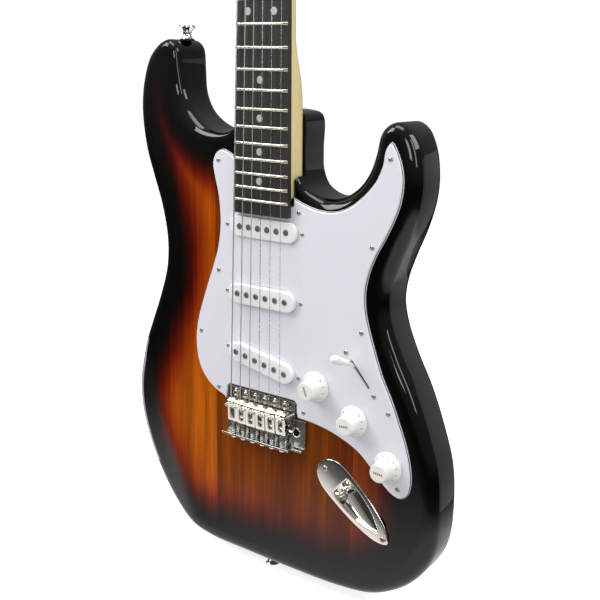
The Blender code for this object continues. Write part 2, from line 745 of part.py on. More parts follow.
def make_selector():
    frame = switch_frame()
    base = local_box("selector_switch", frame, (-24, 24), (-5, 7.6), (-1.4, 0.0), "steel")
    combine(base, local_box("cut_switch_slot", frame, (-17, 17), (-1.6, 1.6), (-3, 2)))
    combine(base, local_box("join_switch_wafer", frame, (-19, 19), (2.2, 7.5), (-29, -1)), "UNION")
    pivot = frame @ Matrix.Translation((0, 0, -SWITCH_PIVOT_DEPTH * MM))
    lever_frame = pivot @ Matrix.Rotation(LEVER_TILT, 4, "Y")
    local_box("switch_lever", lever_frame, (-1.8, 1.8), (-0.6, 0.6), (-5, 33), "chrome")
    tip = turned(
        "switch_tip",
        [(0, 44.6), (2.2, 44.2), (3.3, 42.5), (3.6, 39), (3.1, 34), (2.7, 30), (2.5, 26.5), (0, 26.5)],
        (0, 0, 0),
        FORWARD,
        12,
        "cover",
    )
    tip.matrix_world = lever_frame
    combine(tip, local_box("cut_tip_slot", lever_frame, (-2.1, 2.1), (-0.9, 0.9), (20, 33.4)))


# ---------------------------------------------------------------------------------------------------
# Bridge, springs, back
# ---------------------------------------------------------------------------------------------------


def make_bridge():
    origin = place(0, PIVOT_Y, PIVOT_STATION)
    plan = (
        (-39, 638.4), (36, 638.4), (36, 654), (47.5, 654), (47.5, 680), (36, 680), (36, 682), (-39, 682),
    )
    plate = prism("bridge_plate", [plan], PLATE_FRONT, PLATE_BACK, "chrome", origin)
    combine(plate, box("join_rear_flange", (-39, 36), (-12.0, PLATE_BACK - 0.2), (680.4, 682.4)), "UNION")
    depth = (PLATE_BACK + GAP, BLOCK_BACK)
    block = box("tremolo_block", (-31, 44.5), depth, (BLOCK_FRONT, 672), "steel", origin=origin)
    for string in range(6):
        x = string_x(string, SCALE)
        combine(plate, box(f"cut_plate_hole_{string}", (x - 2.2, x + 2.2), (-6, 2), (659, 667.5)))
        hole = rod(f"cut_block_hole_{string}", (x, -4, STRING_HOLE), (x, 44, STRING_HOLE), 2.4, sides=8)
        combine(block, hole)
        left, right = x - SADDLE_HALF_WIDTH, x + SADDLE_HALF_WIDTH
        crown_y = crown(x) - SADDLE_ACTION + GAP + STRING_RADII[string]
        length = (CROWN_STATION - 2.2, CROWN_STATION + 19)
        saddle = box(
            f"saddle_{string + 1}", (left, right), (crown_y + 2.2, -4.6), length, "chrome", origin=origin
        )
        ridge_y = crown_y + 2.6
        ends = (left, ridge_y, CROWN_STATION), (right, ridge_y, CROWN_STATION)
        combine(saddle, rod(f"join_crown_{string}", *ends, 2.6, sides=12), "UNION", "MANIFOLD")
        window = (CROWN_STATION + 3.3, CROWN_STATION + 16)
        combine(saddle, box(f"cut_saddle_{string}", (x - 2.1, x + 2.1), (-20, 0), window), solver="MANIFOLD")
    x, station = ARM_HOLE
    for piece, name in ((plate, "plate"), (block, "block")):
        ends = (x, -6, station), (x, ARM_HOLE_DEPTH, station)
        combine(piece, rod(f"cut_{name}_arm_hole", *ends, ARM_HOLE_RADIUS, sides=16))


def make_springs():
    claw = box("spring_claw", (-30, 30), (30, 42), (CLAW_STATION - 2, CLAW_STATION), "steel")
    for number, x in enumerate((-11, 11), 1):
        ends = (x, SPRING_Y, CLAW_STATION - 15 + GAP), (x, SPRING_Y, CLAW_STATION + 2)
        combine(claw, rod(f"join_claw_screw_{number}", *ends, 2.2, sides=10), "UNION")
    up = Vector((0.0, 0.0, 1.0))
    length = BLOCK_FRONT - CLAW_STATION - 2 * GAP
    profile = [(0, length), (1, length), (1, length - 6), (4, length - 7), (4, 7), (1, 6), (1, 0), (0, 0)]
    for number, x in enumerate(SPRING_X, 1):
        turned(f"tremolo_spring_{number}", profile, (x, SPRING_Y, BLOCK_FRONT - GAP), up, 12, "steel")


def make_back():
    outline = rounded_box(-44, 54, 536, 690, 9)
    string_window = rounded_box(-32, 32, 657, 673, 4)
    prism("back_cover", [outline, string_window], BODY_DEPTH + GAP, BODY_DEPTH + 2.3, "guard")
    heel = rounded_box(-25.5, 25.5, 396, 460, 5)
    prism("neck_plate", [heel], BODY_DEPTH + GAP, BODY_DEPTH + 2.0, "chrome")


def make_strap_buttons():
    profile = [(0, 12), (6.6, 12), (7.3, 11.2), (7.3, 10.4), (4.6, 7.6), (3.6, 4.6), (4.4, 1.6), (5.4, 0)]
    profile.append((0, 0))
    turned("upper_strap_button", profile, (-107.3, 22.5, 334.9), Vector((0, 0, 1)), 20, "chrome")
    turned("lower_strap_button", profile, (-4.0, 22.5, 806.9), Vector((0, 0, -1)), 20, "chrome")


# ---------------------------------------------------------------------------------------------------
# Jack
# ---------------------------------------------------------------------------------------------------


def jack_frame():
    x, station = JACK_CENTRE
    along = Vector((math.cos(JACK_ANGLE), 0.0, -math.sin(JACK_ANGLE)))
    across = FORWARD.cross(along)
    turn = Matrix((along, across, FORWARD)).transposed().to_4x4()
    return Matrix.Translation(place(x, 0.0, station)) @ turn


def scoop(name, frame, half_width, length, depth, top):
    """The recess as a D-shaped bowl: a straight wall at local x = -17 and a pointed far end. Its floor
    rises from the wall to the far end."""
    wall = -17.0
    upper, lower = [], []
    shares = ((0.0, 1.0), (0.35, 0.98), (0.65, 0.76), (0.88, 0.4), (1.0, 0.0))
    side = [(wall + along * length, half_width * across) for along, across in shares]
    plan = side + [(u, -v) for u, v in side[-2::-1]]
    for u, v in plan:
        share = (u - wall) / length
        upper.append(frame @ (Vector((u, v, top)) * MM))
        floor = -depth * (1 - 0.85 * share * share)
        lower.append(frame @ (Vector((u + 6.0 * (1 - share), v * 0.82, floor)) * MM))
    return loft(name, [upper, lower])


def make_jack():
    frame = jack_frame()
    half = ((-43.5, 0), (-40.5, 9), (-31, 15), (-6, 16), (18, 13.4), (37, 7.8), (45, 0))
    plan = smooth_curve(half + tuple((u, -v) for u, v in half[-2:0:-1]), 9.0)
    plate = prism("jack_plate", [turned_plan(plan, JACK_CENTRE, JACK_ANGLE)], -1.7, -GAP, "chrome")
    combine(plate, scoop("join_scoop", frame, 11.6, 47.5, 15.5, 1.0), "UNION")
    combine(plate, scoop("cut_scoop", frame, 10.4, 45.5, 14.2, 4.0))
    axis = (frame.to_3x3() @ Vector((0.91, 0.0, 0.415))).normalized()
    mouth = frame @ (Vector((-13.0, 0.0, -8.0)) * MM)
    base = millimetres(mouth - axis * 22 * MM)
    hole = [(0, 34), (5.0, 34), (5.0, 14), (0, 14)]
    combine(plate, turned("cut_jack_hole", hole, base, axis, 14))
    barrel = [(3.3, 27), (4.6, 27), (4.6, 12), (7.5, 12), (7.5, 0), (0, 0), (0, 2), (3.3, 2), (3.3, 27)]
    turned("output_jack", barrel, base, axis, 14, "steel")


make_body()
make_neck()
make_fretboard()
make_nut()
make_tuners()
make_strings()
make_string_tree()
make_pickguard()
make_pickups()
make_knobs()
make_selector()
make_bridge()
make_springs()
make_back()
make_strap_buttons()
make_jack()
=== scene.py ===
"""Electric guitar: its surface detail, materials, camera and light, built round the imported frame.

Lengths are in millimetres unless a name says otherwise. A station is a distance from the nut towards
the bridge, so Z = -station. X is the treble side and Y runs from the face to the back.
"""

import math

import bmesh
import bpy
import numpy as np
from mathutils import Matrix, Vector, geometry


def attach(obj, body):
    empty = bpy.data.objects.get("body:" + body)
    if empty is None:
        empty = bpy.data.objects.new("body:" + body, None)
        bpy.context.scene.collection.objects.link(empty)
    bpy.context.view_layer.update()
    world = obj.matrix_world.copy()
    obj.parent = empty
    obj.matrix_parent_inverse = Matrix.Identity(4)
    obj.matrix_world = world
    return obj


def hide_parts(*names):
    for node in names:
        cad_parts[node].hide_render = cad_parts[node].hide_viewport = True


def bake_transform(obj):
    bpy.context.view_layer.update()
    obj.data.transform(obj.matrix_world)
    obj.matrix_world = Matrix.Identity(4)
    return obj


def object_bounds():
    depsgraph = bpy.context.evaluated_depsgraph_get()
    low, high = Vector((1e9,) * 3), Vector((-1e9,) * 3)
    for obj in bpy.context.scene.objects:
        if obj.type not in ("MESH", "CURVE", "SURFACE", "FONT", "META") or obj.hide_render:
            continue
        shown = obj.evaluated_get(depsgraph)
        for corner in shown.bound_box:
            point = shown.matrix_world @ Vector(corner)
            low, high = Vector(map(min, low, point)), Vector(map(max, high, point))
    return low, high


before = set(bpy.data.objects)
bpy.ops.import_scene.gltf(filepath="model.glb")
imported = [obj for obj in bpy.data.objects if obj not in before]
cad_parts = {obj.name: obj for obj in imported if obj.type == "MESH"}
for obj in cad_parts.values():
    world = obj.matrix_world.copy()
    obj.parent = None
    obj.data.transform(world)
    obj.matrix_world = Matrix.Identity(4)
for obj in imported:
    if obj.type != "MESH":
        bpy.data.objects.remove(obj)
CAD_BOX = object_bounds()
MM = 0.001
ROOT = "guitar"
BRIDGE = "tremolo_bridge"

# Plan of the body: (x, station, edge radius)
BODY_PLAN = (
    (-24, 393, 3), (24, 393, 3), (28.5, 398, 3), (28.7, 424, 3), (30, 441, 4), (36, 452, 9),
    (47, 457.5, 12), (60, 459.5, 12), (74, 456.5, 12), (87, 447.5, 12), (96, 435, 12), (101, 421, 12),
    (104.5, 407, 12), (111, 399, 12), (120.5, 395.5, 12), (131, 401, 12), (139, 414, 12), (143, 436, 12),
    (142, 456, 12), (136, 479, 12), (127, 502, 12), (120.5, 522, 12), (118.5, 540, 12), (122.5, 558.5, 12),
    (133, 583, 12), (147, 609, 12), (160, 640, 12), (170, 671, 12), (173.3, 700, 12), (172, 738, 12),
    (165.5, 757, 12), (152.5, 775.5, 12), (135, 790, 12), (113, 800.5, 12), (78, 805.5, 12), (25, 806.5, 12),
    (-25, 806, 12), (-67, 804.5, 12), (-97, 797, 12), (-123, 777, 12), (-144, 750, 12), (-158, 722, 12),
    (-166, 690, 12), (-165, 662, 12), (-157, 635, 12), (-143.5, 601, 12), (-129.5, 567, 12), (-121, 540, 12),
    (-119.5, 515, 12), (-125.5, 484, 12), (-135, 458, 12), (-144.5, 431, 12), (-149.3, 398, 12),
    (-146.5, 372, 12), (-138, 350.5, 12), (-125, 339, 11), (-111.5, 335.3, 9), (-103.5, 341, 7),
    (-100.5, 360, 10), (-97, 380, 12), (-90, 393.5, 12), (-78, 404.5, 12), (-62, 411.8, 10), (-47, 412.5, 6),
    (-36, 408, 4), (-30, 400, 3), (-27.6, 396, 3),
)
GUARD_RIGHT = (
    (29.6, 461), (40, 465), (54, 468.3), (68, 468.5), (80, 465), (91, 458), (100, 449.5), (107.5, 440),
    (112.5, 428), (114.7, 416), (119.8, 410), (125, 417), (129.5, 428), (131.5, 441), (129.5, 457),
    (124.5, 471), (118, 485), (110.5, 499), (105, 513), (102, 528), (102.3, 543), (106, 558), (113, 578),
    (121, 598), (130, 615), (138, 633), (145, 650), (150, 668), (151.3, 683), (148.5, 693.5), (142, 698.3),
    (134, 696.5), (125, 690), (113, 678.5), (102, 669), (89, 662.3), (73, 657), (55, 653.8), (38.2, 652.8),
)
GUARD_LEFT = (
    (-40.8, 652), (-54, 647), (-66, 638.5), (-74, 626.5), (-77.6, 612), (-78, 597), (-75, 580), (-69.5, 563),
    (-63.5, 546), (-57.5, 530), (-52, 513), (-49.4, 496), (-49.4, 481), (-51.5, 465), (-55.5, 450),
    (-57.3, 438), (-53.5, 429.5), (-46, 426.2), (-38.5, 428.5), (-29.6, 434),
)
HEAD_PLAN = (
    (-21.3, -6), (-23.5, -13), (-31, -18.5), (-37.5, -24), (-37.8, -34), (-26, -78), (-8, -142),
    (0, -168), (9, -180), (24, -183.8), (37, -176), (42, -158), (40, -130), (34, -92), (27.5, -55),
    (23, -26), (21.3, -6),
)
# Sections of the neck: station, half width, front, back, squareness
NECK_SECTIONS = (
    (465.2, 24.2, -3.0, 15.6, 12), (461, 0, -3.0, 15.6, 12), (385, 0, -3.0, 15.6, 12), (372, 0, -3.0, 15.3, 9),
    (360, 0, -3.0, 14.2, 5.5), (348, 0, -3.0, 13.0, 3.6), (335, 0, -3.0, 12.4, 2.7), (200, 0, -3.0, 11.9, 2.4),
    (60, 0, -3.0, 11.3, 2.4), (12, 0, -3.0, 11.6, 2.4), (0, 0, -3.0, 12.0, 2.5), (-3.6, 20.5, -3.0, 12.6, 2.6),
    (-8, 21.0, -0.5, 13.8, 3.2), (-14, 21.5, 2.1, 15.0, 4.5), (-24, 22.0, 2.3, 15.6, 8),
)
BODY_DEPTH = 45.0
FOREARM_LINE = ((-150.0, 585.0), (-72.0, 806.0))
FOREARM_SLOPE = 0.21
BELLY_DEPTH = 12.0
SCALE = 647.7
FRETS = 22
DOTTED_FRETS = (3, 5, 7, 9, 12, 15, 17, 19, 21)
BOARD_END = 477.7
BOARD_HALF_WIDTH = (20.5, 28.6)
BOARD_TOP = -9.9
BOARD_BOTTOM = -3.3
BOARD_RADIUS = 305.0
STRING_RADII = (0.62, 0.5, 0.4, 0.3, 0.25, 0.2)
NUT_SPREAD, SADDLE_SPREAD = 35.0, 54.0
HEAD_FRONT, HEAD_BACK = 2.0, 16.0
POST_RADIUS = 3.0
BUTTON_AXIS = Vector((-0.9615, 0.0, 0.2747))
PICKUPS = {"neck": (490.5, 0.0, 5.2), "middle": (549.9, 0.0, 6.8), "bridge": (608.6, 10.8, 7.4)}
COVER = (71.5, 18.4)
POLE_SPANS = {"neck": 49.4, "middle": 51.1, "bridge": 52.9}
GUARD_FRONT, GUARD_BACK = -2.6, -0.3
KNOBS = {"volume": (57.0, 619.0), "neck_tone": (96.0, 640.5), "middle_tone": (130.0, 672.5)}
KNOB_TURN = {"volume": -68.0, "neck_tone": 6.0, "middle_tone": -6.0}
SWITCH_CENTRE = (100.0, 599.0)
SWITCH_ANGLE = math.radians(48.8)
SWITCH_PIVOT_DEPTH = 15.0
LEVER_TILT = math.radians(-29.0)
PLATE_FRONT, PLATE_BACK = -3.4, -1.0
CROWN_STATION = 650.5
STRING_HOLE = 664.5
ARM_HOLE = (38.5, 665.5)
JACK_CENTRE = (97.0, 714.5)
JACK_ANGLE = math.radians(38.8)
RECESS_WALL = -18.3
RECESS_LENGTH = 51.5
RECESS_DEPTH = 14.2
RECESS_RIM = 0.9
RECESS_SHARES = (0, 0.06, 0.2, 0.4, 0.6, 0.75, 0.88, 0.96, 1.0)
RECESS_WIDTHS = (11.4, 12.2, 12.7, 12.1, 10.4, 8.1, 5.1, 2.6, 0.3)
FORWARD = Vector((0.0, -1.0, 0.0))
BACKWARD = Vector((0.0, 1.0, 0.0))

# Profiles of turned pieces: (radius, height) from the foot up
POST_PROFILE = (
    (0, 0), (3, 0), (3, 19), (2.9, 20), (2.5, 21), (2.35, 23.5), (2.5, 26), (2.95, 27), (3, 30.2), (2.7, 30.9),
    (2.0, 31), (1.4, 30.6), (1.3, 24), (0, 24),
)
BUTTON_SHAFT = (
    (0, 0.2), (2.0, 0.2), (2.0, 6), (2.9, 6.4), (2.9, 8), (2.0, 8.4), (2.0, 11), (2.6, 12), (0, 12),
)
KNOB_PROFILE = (
    (5.4, 0), (13.1, 0), (13.3, 0.3), (13.3, 1.2), (12.9, 1.8), (8.95, 6.7), (8.7, 7.3), (8.55, 8.2),
    (8.35, 11.0), (8.15, 13.5), (7.95, 15.0), (7.75, 15.7), (7.4, 16.1), (6.9, 16.2), (4, 16.1), (0.05, 16.05),
)
SWITCH_TIP_PROFILE = (
    (0, 26.5), (2.3, 26.5), (2.6, 27.2), (2.75, 30), (3.15, 34), (3.5, 38), (3.62, 40), (3.5, 42), (3.1, 43.4),
    (2.3, 44.15), (1.2, 44.4), (0, 44.45),
)
ARM_COLLAR_PROFILE = (
    (3.25, -1.2), (3.25, 0.95), (3.5, 1.15), (4.15, 1.05), (4.3, 0.7), (4.3, -1.2), (3.25, -1.2),
)
PIVOT_SEAT_PROFILE = ((0, 0), (4.1, 0), (4.1, 0.35), (3.85, 0.6), (3.0, 0.62), (2.9, 0.3), (0, 0.3))
INTONATION_PROFILE = (
    (0, 0), (1.25, 0), (1.25, 14.6), (2.5, 14.7), (2.6, 15.2), (2.3, 16.3), (1.4, 16.7), (0, 16.75),
)
STRAP_BUTTON_PROFILE = (
    (0, 0), (5.4, 0), (5.3, 0.5), (4.4, 1.7), (3.75, 3.2), (3.6, 4.6), (3.9, 6.2), (4.6, 7.6), (5.8, 8.9),
    (6.9, 9.9), (7.3, 10.5), (7.3, 11.1), (6.9, 11.75), (6.2, 12.0), (3.4, 11.9), (3.1, 11.3), (0, 11.3),
)


# ---------------------------------------------------------------------------------------------------
# Outlines
# ---------------------------------------------------------------------------------------------------


def at(x, y, station):
    return Vector((x, y, -station))


def smooth_curve(points, spacing, closed=True):
    """A centripetal Catmull-Rom curve through the points, sampled about every spacing."""
    points = [Vector(point) for point in points]
    if closed:
        chain = [points[-1], *points, points[0], points[1]]
    else:
        chain = [points[0] * 2 - points[1], *points, points[-1] * 2 - points[-2]]
    curve = []
    for a, b, c, d in zip(chain, chain[1:], chain[2:], chain[3:]):
        tb = math.sqrt((b - a).to_2d().length)
        tc = tb + math.sqrt((c - b).to_2d().length)
        td = tc + math.sqrt((d - c).to_2d().length)
        steps = max(2, round((c - b).to_2d().length / spacing))
        for step in range(steps):
            t = tb + (tc - tb) * step / steps
            ab = a.lerp(b, t / tb)
            bc = b.lerp(c, (t - tb) / (tc - tb))
            cd = c.lerp(d, (t - tc) / (td - tc))
            left, right = ab.lerp(bc, t / tc), bc.lerp(cd, (t - tb) / (td - tb))
            curve.append(left.lerp(right, (t - tb) / (tc - tb)))
    if not closed:
        curve.append(points[-1])
    return curve


def rounded_polygon(points, radius, steps=6):
    loop = []
    for i, corner in enumerate(points):
        corner = Vector(corner)
        before = Vector(points[i - 1]) - corner
        after = Vector(points[(i + 1) % len(points)]) - corner
        start = corner + before.normalized() * radius
        end = corner + after.normalized() * radius
        for step in range(steps + 1):
            t = step / steps
            loop.append(start.lerp(corner, t).lerp(corner.lerp(end, t), t))
    return loop


def rounded_box(x0, x1, s0, s1, radius, steps=6):
    return rounded_polygon(((x0, s0), (x1, s0), (x1, s1), (x0, s1)), radius, steps)


def turned_plan(points, centre, angle):
    cos, sin = math.cos(angle), math.sin(angle)
    return [Vector((centre[0] + u * cos - v * sin, centre[1] + u * sin + v * cos)) for u, v in points]


def circle(radius, steps):
    turns = [math.tau * k / steps for k in range(steps)]
    return [(radius * math.cos(turn), radius * math.sin(turn)) for turn in turns]


def stadium(length, width, steps=14):
    radius = width / 2
    half = length / 2 - radius
    points = []
    for side in (1, -1):
        for step in range(steps + 1):
            turn = math.pi * (step / steps - 0.5)
            points.append((side * (half + radius * math.cos(turn)), side * radius * math.sin(turn)))
    return points


def anticlockwise(loop):
    """The plan loop ordered so that its inside lies on one known side."""
    area = sum(a[0] * b[1] - b[0] * a[1] for a, b in zip(loop, [*loop[1:], loop[0]]))
    return list(loop) if area > 0 else list(loop)[::-1]


def inset_loop(loop, inset):
    """The anticlockwise loop moved inwards. inset is one number or one for each point."""
    count = len(loop)
    moved = []
    for i, point in enumerate(loop):
        along = (Vector(loop[(i + 1) % count][:2]) - Vector(loop[i - 1][:2])).normalized()
        amount = inset[i] if hasattr(inset, "__len__") else inset
        moved.append(Vector((point[0] - along.y * amount, point[1] + along.x * amount)))
    return moved


def inside_loop(points, loop):
    """Which of the plan points lie inside the loop."""
    x, y = points[:, 0], points[:, 1]
    inside = np.zeros(len(points), bool)
    for a, b in zip(loop, [*loop[1:], loop[0]]):
        if a[1] != b[1]:
            crosses = (a[1] > y) != (b[1] > y)
            inside ^= crosses & (x < (b[0] - a[0]) * (y - a[1]) / (b[1] - a[1]) + a[0])
    return inside


def triangulated(loops, inner=()):
    """The points and triangles between the first loop and the others, using the inner points too."""
    coords, edges = [], []
    for loop in loops:
        base = len(coords)
        coords += [Vector(point[:2]) for point in loop]
        edges += [(base + i, base + (i + 1) % len(loop)) for i in range(len(loop))]
    coords += [Vector(point) for point in inner]
    verts, _, faces, *_ = geometry.delaunay_2d_cdt(coords, edges, [], 4, 1e-5)
    plan = np.array([[v.x, v.y] for v in verts])
    centres = np.array([plan[list(face)].mean(0) for face in faces])
    kept = np.ones(len(faces), bool)
    for hole in loops[1:]:
        kept &= ~inside_loop(centres, hole)
    return verts, [face for face, keep in zip(faces, kept) if keep]


# ---------------------------------------------------------------------------------------------------
# Shapes
# ---------------------------------------------------------------------------------------------------


class Shape:
    """Points in millimetres, faces and each face's material number, gathered before a mesh is made."""

    def __init__(self):
        self.verts, self.faces, self.slots = [], [], []

    def add(self, verts, faces, slot=0, matrix=None):
        base = len(self.verts)
        self.verts += [matrix @ Vector(v) if matrix else Vector(v) for v in verts]
        self.faces += [tuple(base + i for i in face) for face in faces]
        self.slots += slot if isinstance(slot, list) else [slot] * len(faces)
        return self

    def rings(self, rings, slot=0, matrix=None, caps=True):
        """A skin through rings of equal length. slot is one number or one for each band."""
        count = len(rings[0])
        verts = [point for ring in rings for point in ring]
        faces, slots = [], []
        for k in range(len(rings) - 1):
            for i in range(count):
                j = (i + 1) % count
                faces.append((k * count + i, k * count + j, (k + 1) * count + j, (k + 1) * count + i))
                slots.append(slot[k] if isinstance(slot, (list, tuple)) else slot)
        if caps:
            last = (len(rings) - 1) * count
            faces += [tuple(range(count))[::-1], tuple(range(last, last + count))]
            ends = (slot[0], slot[-1]) if isinstance(slot, (list, tuple)) else (slot, slot)
            slots += list(ends)
        return self.add(verts, faces, slots, matrix)

    def turned(self, profile, matrix=None, steps=32):
        """A turned piece about local z from (radius, height) pairs. One whose profile ends where it
        starts is a ring."""
        rings = []
        for radius, height in profile:
            radius = max(radius, 1e-3)
            rings.append([(x, y, height) for x, y in circle(radius, steps)])
        return self.rings(rings, 0, matrix, caps=profile[0] != profile[-1])

    def slab(self, outer, holes, profile, slots=0):
        """A flat piece parallel to the face. profile lists (inset, y) from its back to its front, and
        slots gives a material for each band, the last one also for the front."""
        outer = anticlockwise(outer)
        holes = [anticlockwise(hole) for hole in holes]
        rows = [[at(p.x, y, p.y) for p in inset_loop(outer, inset)] for inset, y in profile]
        bands = slots if isinstance(slots, (list, tuple)) else [slots] * (len(profile) - 1)
        self.rings(rows, list(bands), caps=False)
        back, front = profile[0][1], profile[-1][1]
        for hole in holes:
            inside = [[at(p[0], y, p[1]) for p in hole] for y in (back, front)]
            self.rings(inside, bands[-1], caps=False)
        for index, (inset, y) in ((0, profile[0]), (-1, profile[-1])):
            verts, faces = triangulated([inset_loop(outer, inset), *holes])
            self.add([at(v.x, y, v.y) for v in verts], faces, bands[index])
        return self

    def box(self, size, matrix, bevel=0.0):
        """A box centred on the matrix, with rounded edges."""
        bm = bmesh.new()
        bmesh.ops.create_cube(bm, size=1.0, matrix=Matrix.Diagonal((*size, 1.0)))
        if bevel:
            bmesh.ops.bevel(bm, geom=bm.edges[:], offset=bevel, offset_type="OFFSET", segments=3, profile=0.5,
                            affect="EDGES")
        bm.verts.index_update()
        self.add([v.co for v in bm.verts], [[v.index for v in f.verts] for f in bm.faces], 0, matrix)
        bm.free()
        return self

    def tube(self, path, radius, sides):
        """A round bar along the path's points."""
        path = [Vector(point) for point in path]
        rings, side = [], None
        for i, point in enumerate(path):
            along = (path[min(i + 1, len(path) - 1)] - path[max(i - 1, 0)]).normalized()
            if side is None:
                side = along.orthogonal().normalized()
            side = (side - along * side.dot(along)).normalized()
            other = along.cross(side)
            rings.append([point + (side * x + other * y) * radius for x, y in circle(1.0, sides)])
        return self.rings(rings)

    def mesh(self, name, angle=32.0):
        mesh = bpy.data.meshes.new(name)
        mesh.from_pydata([v * MM for v in self.verts], [], self.faces)
        mesh.polygons.foreach_set("material_index", self.slots)
        bm = bmesh.new()
        bm.from_mesh(mesh)
        bmesh.ops.remove_doubles(bm, verts=bm.verts, dist=2e-7)
        bmesh.ops.recalc_face_normals(bm, faces=bm.faces)
        bm.to_mesh(mesh)
        bm.free()
        mesh.shade_smooth()
        mesh.set_sharp_from_angle(angle=math.radians(angle))
        return mesh

    def piece(self, name, body, looks, slot=None, replaces=(), angle=32.0, flat=False):
        """The finished object, riding on a body, with its materials in order. A flat one is shaded by
        its large faces."""
        mesh = self.mesh(name, angle)
        for look in looks if isinstance(looks, (list, tuple)) else [looks]:
            mesh.materials.append(look)
        obj = bpy.data.objects.new(name, mesh)
        bpy.context.scene.collection.objects.link(obj)
        if flat:
            obj.modifiers.new("flat_shading", "WEIGHTED_NORMAL").keep_sharp = True
        if body:
            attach(obj, body)
        if replaces:
            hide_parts(*replaces)
        return obj


def cut(obj, *shapes, solver="MANIFOLD"):
    """Cuts the shapes from the object for good."""
    helpers = []
    for number, shape in enumerate(shapes):
        helper = bpy.data.objects.new(f"cutter_{number}", shape.mesh("cutter"))
        bpy.context.scene.collection.objects.link(helper)
        modifier = obj.modifiers.new("cut", "BOOLEAN")
        modifier.operation, modifier.object, modifier.solver = "DIFFERENCE", helper, solver
        helpers.append(helper)
    bpy.context.view_layer.update()
    evaluated = obj.evaluated_get(bpy.context.evaluated_depsgraph_get())
    mesh = bpy.data.meshes.new_from_object(evaluated)
    mesh.polygons.foreach_set("material_index", [0] * len(mesh.polygons))
    mesh.materials.clear()
    obj.modifiers.clear()
    obj.data = mesh
    for helper in helpers:
        bpy.data.objects.remove(helper)


def facing(origin, axis, side=None):
    """Matrix whose local z is the axis and whose local x lies along side where that is given."""
    axis = Vector(axis).normalized()
    side = Vector(side) if side is not None else axis.orthogonal()
    side = (side - axis * side.dot(axis)).normalized()
    turn = Matrix((side, axis.cross(side), axis)).transposed().to_4x4()
    return Matrix.Translation(origin) @ turn


def screw_template():
    """A domed head of radius 1 with a cross recess, as points and faces."""
    head = Shape().turned([(0.0, -0.3), (0.92, -0.3), (1.0, -0.18), (1.0, 0.04), (0.9, 0.2), (0.68, 0.36),
                           (0.4, 0.45), (0.0, 0.48)], steps=28)
    sizes = ((1.15, 0.24, 0.9), (0.24, 1.15, 0.9))
    arms = [Shape().box(size, Matrix.Translation((0, 0, 0.5))) for size in sizes]
    obj = head.piece("screw_template", None, [])
    cut(obj, *arms, solver="EXACT")
    verts = [v.co / MM for v in obj.data.vertices]
    faces = [tuple(p.vertices) for p in obj.data.polygons]
    bpy.data.objects.remove(obj)
    return verts, faces


SCREW = screw_template()


def screws(shape, places, axis, radius):
    """Adds a screw head at each place, each turned a little differently."""
    for number, place in enumerate(places):
        turn = Matrix.Rotation(number * 1.9 + 0.4, 4, "Z")
        shape.add(*SCREW, 0, facing(place, axis) @ turn @ Matrix.Scale(radius, 4))
    return shape


# ---------------------------------------------------------------------------------------------------
# Materials
# ---------------------------------------------------------------------------------------------------


